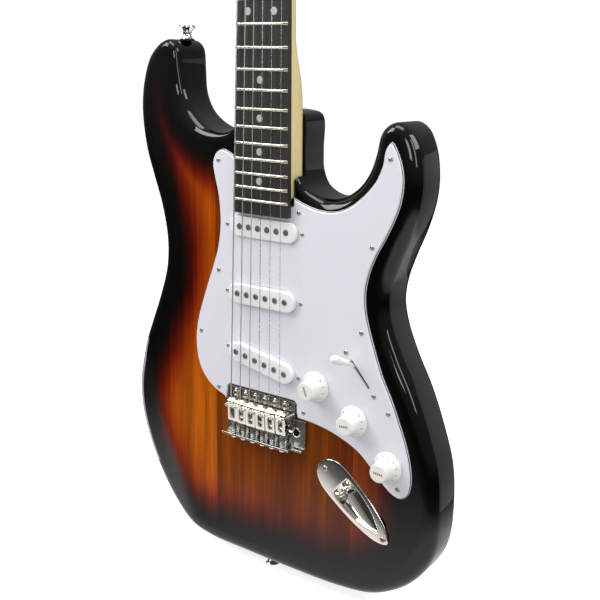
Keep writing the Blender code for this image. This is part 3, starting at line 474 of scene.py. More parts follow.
class Look:
    """A Principled material and short ways to wire its nodes."""

    def __init__(self, name, colour, roughness, metallic=0.0, **inputs):
        self.material = bpy.data.materials.new(name)
        self.material.use_nodes = True
        self.tree = self.material.node_tree
        self.shader = self.tree.nodes["Principled BSDF"]
        self.shader.inputs["Base Color"].default_value = (*colour, 1.0)
        self.shader.inputs["Roughness"].default_value = roughness
        self.shader.inputs["Metallic"].default_value = metallic
        for key, value in inputs.items():
            self.shader.inputs[key.replace("_", " ")].default_value = value
        self.place = self.node("ShaderNodeTexCoord").outputs["Object"]

    def node(self, kind, inputs=None, **settings):
        node = self.tree.nodes.new(kind)
        for key, value in settings.items():
            setattr(node, key, value)
        for key, value in (inputs or {}).items():
            if isinstance(value, bpy.types.NodeSocket):
                self.tree.links.new(value, node.inputs[key])
            else:
                node.inputs[key].default_value = value
        return node

    def noise(self, scale, detail=3.0, roughness=0.5, distortion=0.0):
        """Noise with its own scale along x, y and z, in features per metre."""
        mapped = self.node("ShaderNodeMapping", {"Vector": self.place, "Scale": scale}).outputs["Vector"]
        inputs = {"Vector": mapped, "Scale": 1.0, "Detail": detail, "Roughness": roughness,
                  "Distortion": distortion}
        return self.node("ShaderNodeTexNoise", inputs).outputs["Fac"]

    def maths(self, operation, a, b=0.0):
        return self.node("ShaderNodeMath", {0: a, 1: b}, operation=operation).outputs[0]

    def range(self, value, low, high, to_low, to_high):
        inputs = {"Value": value, "From Min": low, "From Max": high, "To Min": to_low, "To Max": to_high}
        return self.node("ShaderNodeMapRange", inputs).outputs["Result"]

    def ramp(self, value, stops, interpolation="LINEAR"):
        ramp = self.node("ShaderNodeValToRGB", {"Fac": value})
        ramp.color_ramp.interpolation = interpolation
        while len(ramp.color_ramp.elements) < len(stops):
            ramp.color_ramp.elements.new(0.5)
        for element, (position, colour) in zip(ramp.color_ramp.elements, stops):
            element.position = position
            element.color = (*colour, 1.0)
        return ramp.outputs["Color"]

    def mix(self, factor, a, b, blend="MIX"):
        node = self.node("ShaderNodeMix", data_type="RGBA", blend_type=blend, clamp_factor=True)
        for socket, value in ((node.inputs["Factor"], factor), (node.inputs["A"], a), (node.inputs["B"], b)):
            if isinstance(value, bpy.types.NodeSocket):
                self.tree.links.new(value, socket)
            else:
                socket.default_value = value if isinstance(value, float) else (*value, 1.0)
        return [o for o in node.outputs if o.type == "RGBA"][0]

    def colour(self, socket):
        self.tree.links.new(socket, self.shader.inputs["Base Color"])
        return self

    def rough(self, socket, low, high):
        """Roughness from low to high as the socket goes from 0.3 to 0.7."""
        self.tree.links.new(self.range(socket, 0.3, 0.7, low, high), self.shader.inputs["Roughness"])
        return self

    def bump(self, socket, depth, coat=False, strength=1.0):
        """depth is in millimetres."""
        inputs = {"Height": socket, "Strength": strength, "Distance": depth * MM}
        normal = self.node("ShaderNodeBump", inputs).outputs["Normal"]
        self.tree.links.new(normal, self.shader.inputs["Coat Normal" if coat else "Normal"])
        return self


# Colour of the body by distance from its edge, where 1 is 100 mm
BURST = (
    (0.0, (10, 9, 9)), (0.20, (13, 10, 10)), (0.26, (26, 10, 8)), (0.31, (52, 11, 6)), (0.36, (84, 14, 5)),
    (0.41, (112, 27, 6)), (0.46, (140, 43, 6)), (0.51, (164, 61, 6)), (0.58, (186, 80, 7)),
    (0.68, (200, 96, 9)), (0.85, (206, 104, 12)), (1.0, (208, 108, 14)),
)
# Tint of the body in bands across it, from the bass side at 0 to the treble side at 1: a board's edge near x =
# -56 mm, darker bands from there to the treble side
CROSS_BANDS = (
    (0.0, (0.84, 0.78, 0.78)), (0.15, (0.84, 0.8, 0.8)), (0.27, (0.88, 0.84, 0.8)),
    (0.345, (0.43, 0.38, 0.26)), (0.42, (0.44, 0.38, 0.3)), (0.52, (0.31, 0.26, 0.23)),
    (0.62, (0.39, 0.34, 0.28)), (0.69, (0.24, 0.2, 0.18)), (0.76, (0.45, 0.4, 0.36)),
    (0.88, (0.5, 0.44, 0.42)),
)


def srgb(r, g, b):
    return tuple(((c / 255 + 0.055) / 1.055) ** 2.4 if c > 10 else c / 255 / 12.92 for c in (r, g, b))


def sunburst_look():
    look = Look("sunburst", srgb(150, 70, 20), 0.28, Coat_Weight=1.0, Coat_Roughness=0.03, Coat_IOR=1.5,
                Specular_IOR_Level=0.0)
    edge = look.node("ShaderNodeAttribute", attribute_name="edge_mm").outputs["Fac"]
    cloud = look.range(look.noise((14, 14, 14), 2.0), 0.3, 0.7, -3.0, 3.0)
    streak = look.range(look.noise((160, 40, 5), 3.0), 0.3, 0.7, -2.2, 2.2)
    reach = look.maths("ADD", look.maths("ADD", edge, cloud), streak)
    share = look.range(reach, 0.0, 100.0, 0.0, 1.0)
    burst = look.ramp(share, [(place, srgb(*colour)) for place, colour in BURST])
    axes = look.node("ShaderNodeSeparateXYZ", {"Vector": look.place})
    across = look.maths("ADD", axes.outputs["X"], look.range(look.noise((6, 6, 3), 1.0), 0, 1, -0.004, 0.004))
    strips = look.ramp(look.range(across, -0.18, 0.18, 0.0, 1.0), CROSS_BANDS, "CONSTANT")
    wood = look.mix(1.0, burst, strips, "MULTIPLY")
    broad = look.range(look.noise((90, 90, 3.5), 4.0, 0.55, 0.6), 0.3, 0.72, 0.62, 1.22)
    fine = look.range(look.noise((620, 620, 16), 3.0, 0.6), 0.3, 0.7, 0.8, 1.14)
    pores = look.range(look.noise((1500, 1500, 70), 2.0, 0.7), 0.62, 0.7, 1.0, 0.72)
    grain = look.maths("MULTIPLY", look.maths("MULTIPLY", broad, fine), pores)
    tone = look.node("ShaderNodeCombineColor", {"Red": grain, "Green": grain, "Blue": grain}).outputs["Color"]
    look.colour(look.mix(1.0, wood, tone, "MULTIPLY"))
    look.rough(look.noise((40, 40, 40), 3.0), 0.24, 0.34)
    look.bump(look.noise((18, 18, 18), 1.0), 0.05, coat=True, strength=0.2)
    return look.material


def wood_look(name, dark, light, roughness, coat, fine, pore):
    """Straight-grained wood along z, with fine lines to the metre and dark pores."""
    look = Look(name, light, roughness, Coat_Weight=coat, Coat_Roughness=0.15)
    grain = look.noise((fine, fine, fine / 40), 4.0, 0.6, 0.4)
    colour = look.ramp(look.range(grain, 0.3, 0.7, 0.0, 1.0), [(0.0, dark), (0.5, light), (1.0, light)])
    pores = look.range(look.noise((fine * 4, fine * 4, fine / 6), 2.0, 0.6), 0.6, 0.68, 0.0, pore)
    look.colour(look.mix(pores, colour, tuple(c * 0.45 for c in dark)))
    look.rough(look.noise((60, 60, 20), 3.0), roughness - 0.06, roughness + 0.08)
    look.bump(look.noise((fine * 3, fine * 3, fine / 8), 2.0, 0.6), 0.05, strength=0.35)
    return look.material


def plastic_look(name, colour, roughness, grime, coat=0.0):
    """A moulded plastic, or paint, with faint clouds of grime."""
    look = Look(name, colour, roughness, Coat_Weight=coat, Coat_Roughness=0.08)
    cloud = look.range(look.noise((45, 45, 45), 4.0, 0.6), 0.3, 0.7, 0.0, grime)
    look.colour(look.mix(cloud, colour, tuple(c * 0.72 for c in colour)))
    look.rough(look.noise((300, 300, 300), 3.0, 0.7), roughness - 0.05, roughness + 0.07)
    look.bump(look.noise((900, 900, 900), 2.0), 0.02, strength=0.12)
    return look.material


def metal_look(name, colour, low, high, tarnish):
    """A metal whose roughness runs from low to high, with darker clouds of tarnish."""
    look = Look(name, colour, low, 1.0)
    cloud = look.noise((70, 70, 70), 4.0, 0.65)
    stain = look.range(cloud, 0.45, 0.75, 0.0, tarnish)
    look.colour(look.mix(stain, colour, tuple(c * 0.55 for c in colour)))
    fine = look.noise((500, 500, 500), 4.0, 0.7)
    look.rough(fine, low, high)
    look.bump(fine, 0.01, strength=0.10)
    return look.material


def wound_look():
    """A string wound with wire."""
    look = Look("wound_string", (0.62, 0.6, 0.56), 0.3, 1.0)
    wave = look.node(
        "ShaderNodeTexWave", {"Vector": look.place, "Scale": 1300.0, "Distortion": 0.0}, bands_direction="Z"
    ).outputs["Fac"]
    # The colour is darker in the grooves between the wire's turns: painted shade.
    look.colour(look.mix(wave, (0.58, 0.57, 0.54), (0.86, 0.84, 0.8)))
    look.bump(wave, 0.04, strength=0.5)
    return look.material


SUNBURST = sunburst_look()
MAPLE = wood_look("maple", srgb(205, 178, 118), srgb(228, 208, 150), 0.34, 0.35, 110, 0.10)
ROSEWOOD = wood_look("rosewood", srgb(24, 21, 20), srgb(46, 41, 39), 0.5, 0.0, 420, 0.6)
PEARL = plastic_look("pearl_dots", srgb(196, 198, 196), 0.25, 0.35, 0.5)
FRET = metal_look("fret_nickel", (0.78, 0.74, 0.62), 0.18, 0.30, 0.2)
BONE = plastic_look("nut_ivory", srgb(226, 220, 200), 0.4, 0.3)
WHITE_PLY = plastic_look("guard_white", srgb(233, 232, 240), 0.22, 0.04, 0.2)
BLACK_PLY = plastic_look("guard_black", srgb(14, 14, 15), 0.3, 0.1)
COVER_LOOK = plastic_look("pickup_white", srgb(243, 243, 243), 0.30, 0.05, 0.15)
KNOB = plastic_look("knob_white", srgb(244, 243, 239), 0.28, 0.06, 0.25)
GOLD = plastic_look("gold_marks", srgb(158, 128, 74), 0.4, 0.3)
POLE = metal_look("pole_pieces", (0.36, 0.35, 0.29), 0.35, 0.5, 0.4)
SCREW_NICKEL = metal_look("screw_nickel", (0.50, 0.49, 0.40), 0.22, 0.36, 0.5)
CHROME = metal_look("chrome", (0.95, 0.90, 0.84), 0.05, 0.11, 0.12)
PLATE_STEEL = metal_look("bridge_steel", (0.50, 0.495, 0.46), 0.16, 0.28, 0.35)
STEEL = metal_look("steel", (0.55, 0.55, 0.54), 0.25, 0.42, 0.4)
CAST = metal_look("cast_block", (0.36, 0.36, 0.37), 0.45, 0.6, 0.5)
STRING_PLAIN = metal_look("plain_string", (0.9, 0.89, 0.86), 0.2, 0.32, 0.1)
STRING_WOUND = wound_look()
COIL = plastic_look("coil_black", srgb(24, 22, 20), 0.5, 0.4)
FELT = plastic_look("felt_black", srgb(18, 18, 18), 0.95, 0.4)
# near-black colour for the plug in the jack socket: painted shade standing in for the dark inside its hole
HOLE_SHADE = plastic_look("painted_hole_shade", srgb(6, 6, 6), 0.7, 0.2)
WAFER = plastic_look("wafer_brown", srgb(92, 62, 34), 0.5, 0.4)


# ---------------------------------------------------------------------------------------------------
# Camera, light, floor
# ---------------------------------------------------------------------------------------------------

EYE = Vector((0.46418, -0.61058, -0.35486))
EYE_RIGHT = Vector((0.81630566, 0.57727578, 0.01994365))
EYE_UP = Vector((-0.15990997, 0.19267579, 0.96814505))
EYE_AHEAD = Vector((-0.55504403, 0.79349147, -0.24959449))
LENS = 54.759
AIM = Vector((0.0, 0.0, -0.58))
# name, direction from AIM, distance (m), width and height (m), power (W)
SOFTBOXES = (
    ("key", (-0.62, -0.55, 0.66), 1.6, 0.8, 0.8, 15.0),
    ("top", (0.0, -0.22, 0.97), 1.6, 1.1, 0.7, 12.0),
    ("left_rim", (-0.86, 0.44, -0.22), 1.5, 0.3, 1.5, 3.0),
    ("left_low", (-0.93, 0.05, -0.38), 1.5, 0.5, 0.6, 2.0),
    ("right_back", (0.62, 0.77, -0.12), 1.6, 1.2, 1.2, 1.6),
    ("right_high", (0.80, 0.10, 0.60), 1.6, 0.9, 0.5, 8.0),
    ("right_rim", (0.86, -0.34, 0.36), 1.7, 0.22, 0.7, 2.4),
    ("front_fill", (0.55, -0.82, 0.30), 2.2, 0.5, 0.5, 5.0),
)
MATT_LIGHT = 0.435
BACKGROUND = 1.05
# brightness of the room from straight down, 0, to straight up, 1
ROOM_LEVELS = (
    (0.0, 0.9), (0.24, 0.88), (0.27, 0.46), (0.292, 0.11), (0.33, 0.05), (0.37, 0.03), (0.43, 0.05),
    (0.5, 0.16), (0.65, 0.22), (1.0, 0.45),
)


def softbox(name, direction, distance, width, height, power):
    """A rectangular area light that faces the guitar."""
    light = bpy.data.lights.new(name, "AREA")
    light.shape = "RECTANGLE"
    light.size, light.size_y = width, height
    light.energy = power
    obj = bpy.data.objects.new(name, light)
    obj.location = AIM + Vector(direction).normalized() * distance
    obj.rotation_mode = "QUATERNION"
    obj.rotation_quaternion = (AIM - obj.location).to_track_quat("-Z", "Y")
    bpy.context.scene.collection.objects.link(obj)


def make_camera():
    scene = bpy.context.scene
    lens = bpy.data.cameras.new("camera")
    lens.lens, lens.sensor_width = LENS, 36.0
    lens.clip_start, lens.clip_end = 0.01, 100.0
    camera = bpy.data.objects.new("camera", lens)
    turn = Matrix((EYE_RIGHT, EYE_UP, -EYE_AHEAD)).transposed().to_4x4()
    camera.matrix_world = Matrix.Translation(EYE) @ turn
    scene.collection.objects.link(camera)
    scene.camera = camera
    scene.view_settings.view_transform = "Standard"


def make_world():
    """A pale background. Matt faces are lit by an even white, and polished ones mirror a dark room
    over a bright floor."""
    world = bpy.data.worlds.new("studio")
    bpy.context.scene.world = world
    world.use_nodes = True
    nodes, links = world.node_tree.nodes, world.node_tree.links
    sky = nodes["Background"]
    sky.inputs["Color"].default_value = (1, 1, 1, 1)
    path = nodes.new("ShaderNodeLightPath")
    direction = nodes.new("ShaderNodeSeparateXYZ")
    links.new(nodes.new("ShaderNodeTexCoord").outputs["Generated"], direction.inputs["Vector"])
    height = nodes.new("ShaderNodeMapRange")
    height.inputs["From Min"].default_value = -1.0
    links.new(direction.outputs["Z"], height.inputs["Value"])
    room = nodes.new("ShaderNodeValToRGB")
    while len(room.color_ramp.elements) < len(ROOM_LEVELS):
        room.color_ramp.elements.new(0.5)
    for element, (position, level) in zip(room.color_ramp.elements, ROOM_LEVELS):
        element.position = position
        element.color = (level, level, level, 1.0)
    links.new(height.outputs["Result"], room.inputs["Fac"])
    dim = nodes.new("ShaderNodeMix")
    dim.inputs["A"].default_value = MATT_LIGHT
    links.new(room.outputs["Color"], dim.inputs["B"])
    links.new(path.outputs["Is Glossy Ray"], dim.inputs["Factor"])
    seen = nodes.new("ShaderNodeMix")
    seen.inputs["B"].default_value = BACKGROUND
    links.new(path.outputs["Is Camera Ray"], seen.inputs["Factor"])
    links.new(dim.outputs["Result"], seen.inputs["A"])
    links.new(seen.outputs["Result"], sky.inputs["Strength"])


def make_floor():
    floor_z = CAD_BOX[0].z - 0.0005
    rings = [[(x * r, y * r, floor_z / MM) for x, y in circle(1.0, 96)] for r in (9000.0, 40.0, 1.0)]
    floor = Shape().rings(rings, caps=False).piece("floor", None, [])
    paint = Look("floor_paint", (0.82, 0.82, 0.82), 0.9)
    paint.shader.inputs["Emission Color"].default_value = (1, 1, 1, 1)
    paint.shader.inputs["Emission Strength"].default_value = 0.72
    paint.bump(paint.noise((60, 60, 60)), 0.1, strength=0.05)
    floor.data.materials.append(paint.material)
    floor.visible_glossy = False
    floor.visible_diffuse = False


make_camera()
make_world()
for softbox_row in SOFTBOXES:
    softbox(*softbox_row)
make_floor()


# ---------------------------------------------------------------------------------------------------
# Body
# ---------------------------------------------------------------------------------------------------


def ramp_over(distance, blend):
    flat = np.clip(distance, 0.0, blend)
    return flat * flat / (2 * blend) + np.maximum(distance - blend, 0.0)


def contoured(points):
    """The forearm and belly contours applied to an array of points in millimetres."""
    x, y, station = points[:, 0], points[:, 1], -points[:, 2]
    (ax, a_station), (bx, b_station) = FOREARM_LINE
    along = Vector((bx - ax, b_station - a_station)).normalized()
    outside = -((x - ax) * along.y - (station - a_station) * along.x)
    front = FOREARM_SLOPE * ramp_over(outside, 14.0)
    window = np.cos(np.clip((station - 510.0) / 115.0, -1, 1) * math.pi / 2) ** 2
    back = BELLY_DEPTH / 55.0 * ramp_over(-58.0 - x, 25.0) * window
    moved = points.copy()
    moved[:, 1] = y + front * (1 - y / BODY_DEPTH) - back * y / BODY_DEPTH
    return moved


def edge_radii(loop):
    """The edge radius at each point, kept under the outline's own radius at its corners."""
    count = len(loop)
    limited = []
    for i in range(count):
        a, b, c = (Vector(loop[(i + k) % count][:2]) for k in (-4, 0, 4))
        turn = (b - a).angle_signed(c - b, 0.0) if (b - a).length and (c - b).length else 0.0
        bend = (c - a).length / 2 / max(abs(turn), 1e-4)
        limited.append(min(loop[i][2], 0.72 * bend) if turn < 0 else loop[i][2])
    limited = [min(limited[(i + k) % count] for k in range(-5, 6)) for i in range(count)]
    for _ in range(6):
        limited = [(limited[i - 1] + limited[i] + limited[(i + 1) % count]) / 3 for i in range(count)]
    return limited


def inside_points(loop, spacing, margin):
    """Grid points inside the plan loop, at least the margin from it."""
    outline = np.array([[p[0], p[1]] for p in loop])
    low, high = outline.min(0), outline.max(0)
    xs, ys = np.arange(low[0], high[0], spacing), np.arange(low[1], high[1], spacing)
    grid = np.array([(x + (j % 2) * spacing / 2, y) for j, y in enumerate(ys) for x in xs])
    inside = inside_loop(grid, outline)
    nearest = np.min([((grid - point) ** 2).sum(1) for point in outline], 0)
    return [Vector(p) for p in grid[inside & (nearest > margin * margin)]]


def body_cavities():
    """The pockets cut in the body, each an outline with its front and its back."""
    controls = [
        (38, 566), (103, 566), (116, 596), (130, 624), (139, 644), (144.5, 660), (144.5, 682), (139, 687),
        (126, 687), (118, 680), (115, 674), (100, 660), (84, 652), (62, 645), (38, 632),
    ]
    neck = [(-31, 385), (31, 385), (31, 444), (29, 447), (29, 461), (24, 467.5), (-24, 467.5), (-29, 461),
            (-28.2, 404), (-31, 403)]
    cavities = (
        (neck, -2.0, 16.0),
        (rounded_box(-44, 46, 481, 628, 8), -2.0, 19.0),
        (rounded_polygon(controls, 3, 2), -2.1, 33.0),
        (rounded_box(-34.5, 45.5, 655.5, 679, 3), -2.2, 47.0),
        (rounded_box(-33, 33, 545, 660, 5), 27.0, 47.0),
        (turned_plan(rounded_box(-41, 36, -13, 13, 9), JACK_CENTRE, JACK_ANGLE), -2.3, 36.0),
    )
    return [Shape().slab(outline, [], [(0, back), (0, front)]) for outline, front, back in cavities]


def store_edge_distance(mesh, loop):
    """Stores each point's distance from the outline, which the sunburst follows, less on the treble side."""
    points = np.zeros(len(mesh.vertices) * 3)
    mesh.vertices.foreach_get("co", points)
    points = points.reshape(-1, 3) / MM
    outline = np.array([[p[0], -p[1]] for p in loop])
    distance = np.full(len(points), 1e9)
    for a, b in zip(outline, np.roll(outline, -1, 0)):
        along = b - a
        share = np.clip(((points[:, [0, 2]] - a) @ along) / (along @ along), 0, 1)
        distance = np.minimum(distance, np.hypot(*(points[:, [0, 2]] - a - share[:, None] * along).T))
    lean = np.clip((points[:, 0] - 60.0) / 60.0, 0, 1)
    attribute = mesh.attributes.new("edge_mm", "FLOAT", "POINT")
    attribute.data.foreach_set("value", (distance - 8.0 * lean).astype(np.float32))


def make_body():
    loop = anticlockwise(smooth_curve(BODY_PLAN, 2.4))
    radii = edge_radii(loop)
    rings, steps = [], 7
    for back in (False, True):
        for step in range(steps + 1):
            turn = math.pi / 2 * (step if back else steps - step) / steps
            plan = inset_loop(loop, [radius * (1 - math.cos(turn)) for radius in radii])
            drop = [radius * (1 - math.sin(turn)) for radius in radii]
            rings.append([at(p.x, BODY_DEPTH - d if back else d, p.y) for p, d in zip(plan, drop)])
    shape = Shape().rings(rings, caps=False)
    plan = inset_loop(loop, radii)
    verts, faces = triangulated([plan], inside_points(plan, 4.0, 2.2))
    for y in (0.0, BODY_DEPTH):
        shape.add([at(v.x, y, v.y) for v in verts], faces)
    points = contoured(np.array([list(v) for v in shape.verts]))
    shape.verts = [Vector(p) for p in points]
    body = shape.piece("body_wood", None, [])
    cut(body, *body_cavities())
    store_edge_distance(body.data, loop)
    body.data.shade_smooth()
    body.data.set_sharp_from_angle(angle=math.radians(35))
    body.data.materials.append(SUNBURST)
    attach(body, ROOT)
    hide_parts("body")


make_body()


# ---------------------------------------------------------------------------------------------------
# Neck, fretboard, nut
# ---------------------------------------------------------------------------------------------------


def board_half_width(station):
    nut, end = BOARD_HALF_WIDTH
    return nut + (end - nut) * max(0.0, station) / BOARD_END


def crown(x):
    return x * x / (2 * BOARD_RADIUS)


def neck_section(station, half_width, top, bottom, square, steps=40):
    points = [at(-half_width, top, station), at(half_width, top, station)]
    for step in range(1, steps):
        turn = math.pi * step / steps
        x = half_width * math.copysign(abs(math.cos(turn)) ** (2 / square), math.cos(turn))
        points.append(at(x, top + (bottom - top) * math.sin(turn) ** (2 / square), station))
    return points


def neck_rings():
    """The neck's sections, at most about 6 mm apart. A half width of 0 follows the fretboard."""
    rings = []
    for a, b in zip(NECK_SECTIONS, NECK_SECTIONS[1:]):
        pieces = max(2, round(abs(a[0] - b[0]) / 6))
        for k in range(pieces + (b is NECK_SECTIONS[-1])):
            t = k / pieces
            row = [p + (q - p) * t for p, q in zip(a, b)]
            if not (a[1] or b[1]):
                row[1] = board_half_width(row[0]) - 0.1
            elif not (a[1] and b[1]):
                wide_a, wide_b = (key[1] or board_half_width(key[0]) - 0.1 for key in (a, b))
                row[1] = wide_a + (wide_b - wide_a) * t
            rings.append(neck_section(*row))
    return rings


def make_neck():
    shape = Shape().rings(neck_rings())
    edge = 2.2
    turns = (0, 0.4, 0.8, 1.2, 1.5708)
    steps = [(edge * (1 - math.sin(turn)), edge * (1 - math.cos(turn))) for turn in turns]
    profile = [(inset, HEAD_BACK - depth) for inset, depth in steps]
    profile += [(inset, HEAD_FRONT + depth) for inset, depth in steps[::-1]]
    shape.slab(smooth_curve(HEAD_PLAN, 2.5, closed=False), [], profile)
    neck = shape.piece("neck_maple", ROOT, MAPLE, "maple", ["neck"])
    neck.data.set_sharp_from_angle(angle=math.radians(40))


def board_section(station):
    half = board_half_width(station)
    top = [(half * k / 24, BOARD_TOP + crown(half * k / 24)) for k in range(-24, 25)]
    top[0] = (top[0][0], top[0][1] + 0.5)
    top[-1] = (top[-1][0], top[-1][1] + 0.5)
    top[1:1] = [(-half + 0.4, BOARD_TOP + crown(half))]
    top[-1:-1] = [(half - 0.4, BOARD_TOP + crown(half))]
    return [at(x, y, station) for x, y in top + [(half, BOARD_BOTTOM), (-half, BOARD_BOTTOM)]]


def fret_rings(station):
    """One fret's wire across the fretboard, thinner at its ends."""
    half = board_half_width(station) + 0.05
    wide, high = 1.25, 1.12
    turns = [math.pi * k / 10 for k in range(11)]
    rings = []
    for k in range(25):
        x = half * (k / 12 - 1)
        fade = min(1.0, (half - abs(x)) / 1.4 + 0.12)
        arc = [(wide - wide * math.cos(turn), -high * fade * math.sin(turn)) for turn in turns]
        arc = [(0.0, 0.4), *arc, (2 * wide, 0.4)]
        rings.append([at(x, BOARD_TOP + crown(x) + dy, station - wide + ds) for ds, dy in arc])
    return rings


def make_fretboard():
    board = Shape().rings([board_section(BOARD_END * k / 60) for k in range(61)])
    board.piece("fretboard_wood", ROOT, ROSEWOOD, "rosewood", ["fretboard"])

    stations = [SCALE * (1 - 2 ** (-fret / 12)) for fret in range(FRETS + 1)]
    frets = Shape()
    for station in stations[1:]:
        frets.rings(fret_rings(station))
    frets.piece("fret_wire", ROOT, FRET, "rosewood")

    dots = Shape()
    for fret in DOTTED_FRETS:
        station = (stations[fret] + stations[fret - 1]) / 2
        for x in (-13.0, 13.0) if fret == 12 else (0.0,):
            rings = []
            for share, lift in ((1.0, -0.5), (1.0, 0.04), (0.6, 0.05), (0.05, 0.05)):
                spots = [(x + u * share, station + v * share) for u, v in circle(3.1, 28)]
                rings.append([at(px, BOARD_TOP + crown(px) - lift, ps) for px, ps in spots])
            dots.rings(rings)
        for offset in (-4.0, 4.0) if fret == 12 else (0.0,):
            side = at(-board_half_width(station) + 0.3, -6.4, station + offset)
            dots.turned([(0, 0), (1.0, 0), (1.0, 0.36), (0, 0.36)], facing(side, (-1, 0, 0)), 16)
    dots.piece("fret_dots", ROOT, PEARL, "rosewood")


def make_nut():
    half = BOARD_HALF_WIDTH[0]
    section = [(-half, -3.3), (-half, -9.2), (-half + 0.7, -9.9)]
    for string in range(6):
        x, r = string_x(string, 0), STRING_RADII[string] + 0.12
        top = BOARD_TOP + crown(x) - 0.9
        section += [(x - r - 0.25, top - 0.35), (x - r, top), (x, top + 0.1), (x + r, top)]
        section.append((x + r + 0.25, top - 0.35))
    section += [(half - 0.7, -9.9), (half, -9.2), (half, -3.3)]
    nut = Shape().rings([[at(x, y, s) for x, y in section] for s in (-3.5, -0.3)])
    nut.piece("nut_block", ROOT, BONE, "bone", ["nut"])


# ---------------------------------------------------------------------------------------------------
# Tuners and strings
# ---------------------------------------------------------------------------------------------------


def string_x(string, station):
    spread = NUT_SPREAD + (SADDLE_SPREAD - NUT_SPREAD) * max(0.0, station) / SCALE
    return spread * (string / 5 - 0.5)


POSTS = [(string_x(k, 0) - POST_RADIUS - 0.3 - STRING_RADII[k], -32.0 - 24.5 * k) for k in range(6)]


def button_rings():
    """A tuner button's sections along its axis, wide and flat with a waist at the shaft."""
    rings = []
    for k in range(17):
        t = k / 16
        wide = 7.9 * min(1.0, 0.36 + 1.15 * math.sin(math.pi * min(1.0, 0.08 + t * 0.88)) ** 0.55)
        thick = 4.0 * min(1.0, 0.5 + math.sin(math.pi * min(1.0, 0.06 + t * 0.9)) ** 0.6)
        rings.append([
            (thick * math.copysign(abs(c) ** 0.7, c), wide * math.copysign(abs(s) ** 0.85, s), 11.4 + 10.5 * t)
            for c, s in circle(1.0, 36)
        ])
    return rings


def make_tuners():
    back = HEAD_BACK + 0.3
    first, last = Vector(POSTS[0]), Vector(POSTS[-1])
    slant = (last - first).normalized()
    angle = math.atan2(slant.x, -slant.y)
    tray, collars, rivets = Shape(), Shape(), []
    ends = [first - slant * 11, last + slant * 11]
    side = Vector((slant.y, -slant.x)) * 7.0
    strip = rounded_polygon([ends[0] + side, ends[1] + side, ends[1] - side, ends[0] - side], 2.0)
    tray.slab(strip, [], [(0, back + 1.6), (0, back + 0.5), (0.25, back)])
    collar = [(0, 0), (5.4, 0), (5.3, 0.8), (4.9, 1.2), (0, 1.2)]
    for number, (x, station) in enumerate(POSTS, 1):
        turn = Matrix.Translation(at(x, back + 5.0, station)) @ Matrix.Rotation(angle, 4, "Y")
        tray.box((12.6, 7.2, 13.4), turn, bevel=1.6)
        rivets.append(at(x, back + 8.55, station))
        collars.turned(collar, facing(at(x, HEAD_FRONT - 0.05, station), FORWARD), 32)
        post = Shape().turned(POST_PROFILE, facing(at(x, HEAD_BACK - 0.1, station), FORWARD), 40)
        post.piece(f"post_{number}", f"post_{number}", CHROME, "chrome", [f"tuner_post_{number}"])
        start = at(x, back + 4.6, station) + BUTTON_AXIS.normalized() * 7.2
        place = facing(start, BUTTON_AXIS, (0, 1, 0))
        button = Shape().turned(BUTTON_SHAFT, place, 32).rings(button_rings(), 0, place)
        name = f"button_{number}"
        button.piece(name, name, CHROME, "chrome", [f"tuner_{name}"], angle=50)
    tray.piece("tuner_housings", ROOT, CHROME, "chrome", ["tuner_tray"])
    collars.piece("post_collars", ROOT, CHROME, "chrome")
    spots = [first - slant * 9.4, last + slant * 9.4]
    spots += [(Vector(p) + Vector(q)) / 2 for p, q in zip(POSTS, POSTS[1:])]
    heads = screws(Shape(), [at(p.x, back + 1.6, p.y) for p in spots], BACKWARD, 2.1)
    screws(heads, rivets, BACKWARD, 2.6).piece("tuner_screws", ROOT, SCREW_NICKEL, "chrome")


def string_path(string):
    """A string from the bridge's block over its saddle and the nut to the last turn round its post."""
    radius = STRING_RADII[string]
    x_saddle, x_nut = string_x(string, SCALE), string_x(string, 0)
    crown_y = -(14.4 - crown(x_saddle))
    nut_y = BOARD_TOP + crown(x_nut) - 1.2 - radius
    post_x, post_station = POSTS[string]
    hole = [(9.0, STRING_HOLE), (3.0, STRING_HOLE), (0.0, STRING_HOLE - 0.8), (-2.0, STRING_HOLE - 1.9)]
    hole += [(crown_y + 3.4, CROWN_STATION + 5.0), (crown_y + 1.4, CROWN_STATION + 3.0)]
    hole += [(crown_y + 0.5, CROWN_STATION + 1.7), (crown_y + 0.12, CROWN_STATION + 0.8)]
    points = [(x_saddle, y, s) for y, s in hole]
    steps = [0.0, *[k / 215 for k in range(1, 14)], *[0.08 + 0.92 * k / 24 for k in range(25)]]
    for t in steps:
        x = x_saddle + (x_nut - x_saddle) * t
        points.append((x, crown_y + (nut_y - crown_y) * t, CROWN_STATION * (1 - t)))
    points += [(x_nut, nut_y, -3.2), (x_nut, nut_y + 0.4, -5.2)]
    if string >= 4:
        points += [(x_nut, -7.4, -72.0), (x_nut, -7.1, -78.0)]
    reach = POST_RADIUS + 0.3 + radius
    for step in range(31):
        turn = math.tau * step / 24
        points.append((post_x + reach * math.cos(turn), -6.2 + radius * 2.2 * step / 24,
                       post_station - reach * math.sin(turn)))
    return [at(*p) for p in points]


def make_strings():
    for string in range(6):
        look = STRING_WOUND if string < 3 else STRING_PLAIN
        wire = Shape().tube(string_path(string), STRING_RADII[string], 10)
        obj = wire.piece(f"wire_{string + 1}", None, look, "string", [f"string_{string + 1}"], angle=60)
        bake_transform(obj)
    x = (string_x(4, 0) + string_x(5, 0)) / 2
    tree = Shape().box((13, 0.9, 6), Matrix.Translation(at(x, -8.95, -75)), bevel=0.4)
    for side in (-1, 1):
        tree.box((0.9, 2.2, 6), Matrix.Translation(at(x + side * 6.05, -8.3, -75)), bevel=0.4)
    tree.turned([(0, 0), (3.1, 0), (3.1, 0.8), (1.8, 1.2), (1.8, 11), (0, 11)],
                facing(at(x, HEAD_FRONT - 0.1, -75), FORWARD))
    screws(tree, [at(x, -9.35, -75)], FORWARD, 2.4)
    tree.piece("string_guide", ROOT, CHROME, "chrome", ["string_tree"])


# ---------------------------------------------------------------------------------------------------
# Pickguard, pickups, controls
# ---------------------------------------------------------------------------------------------------


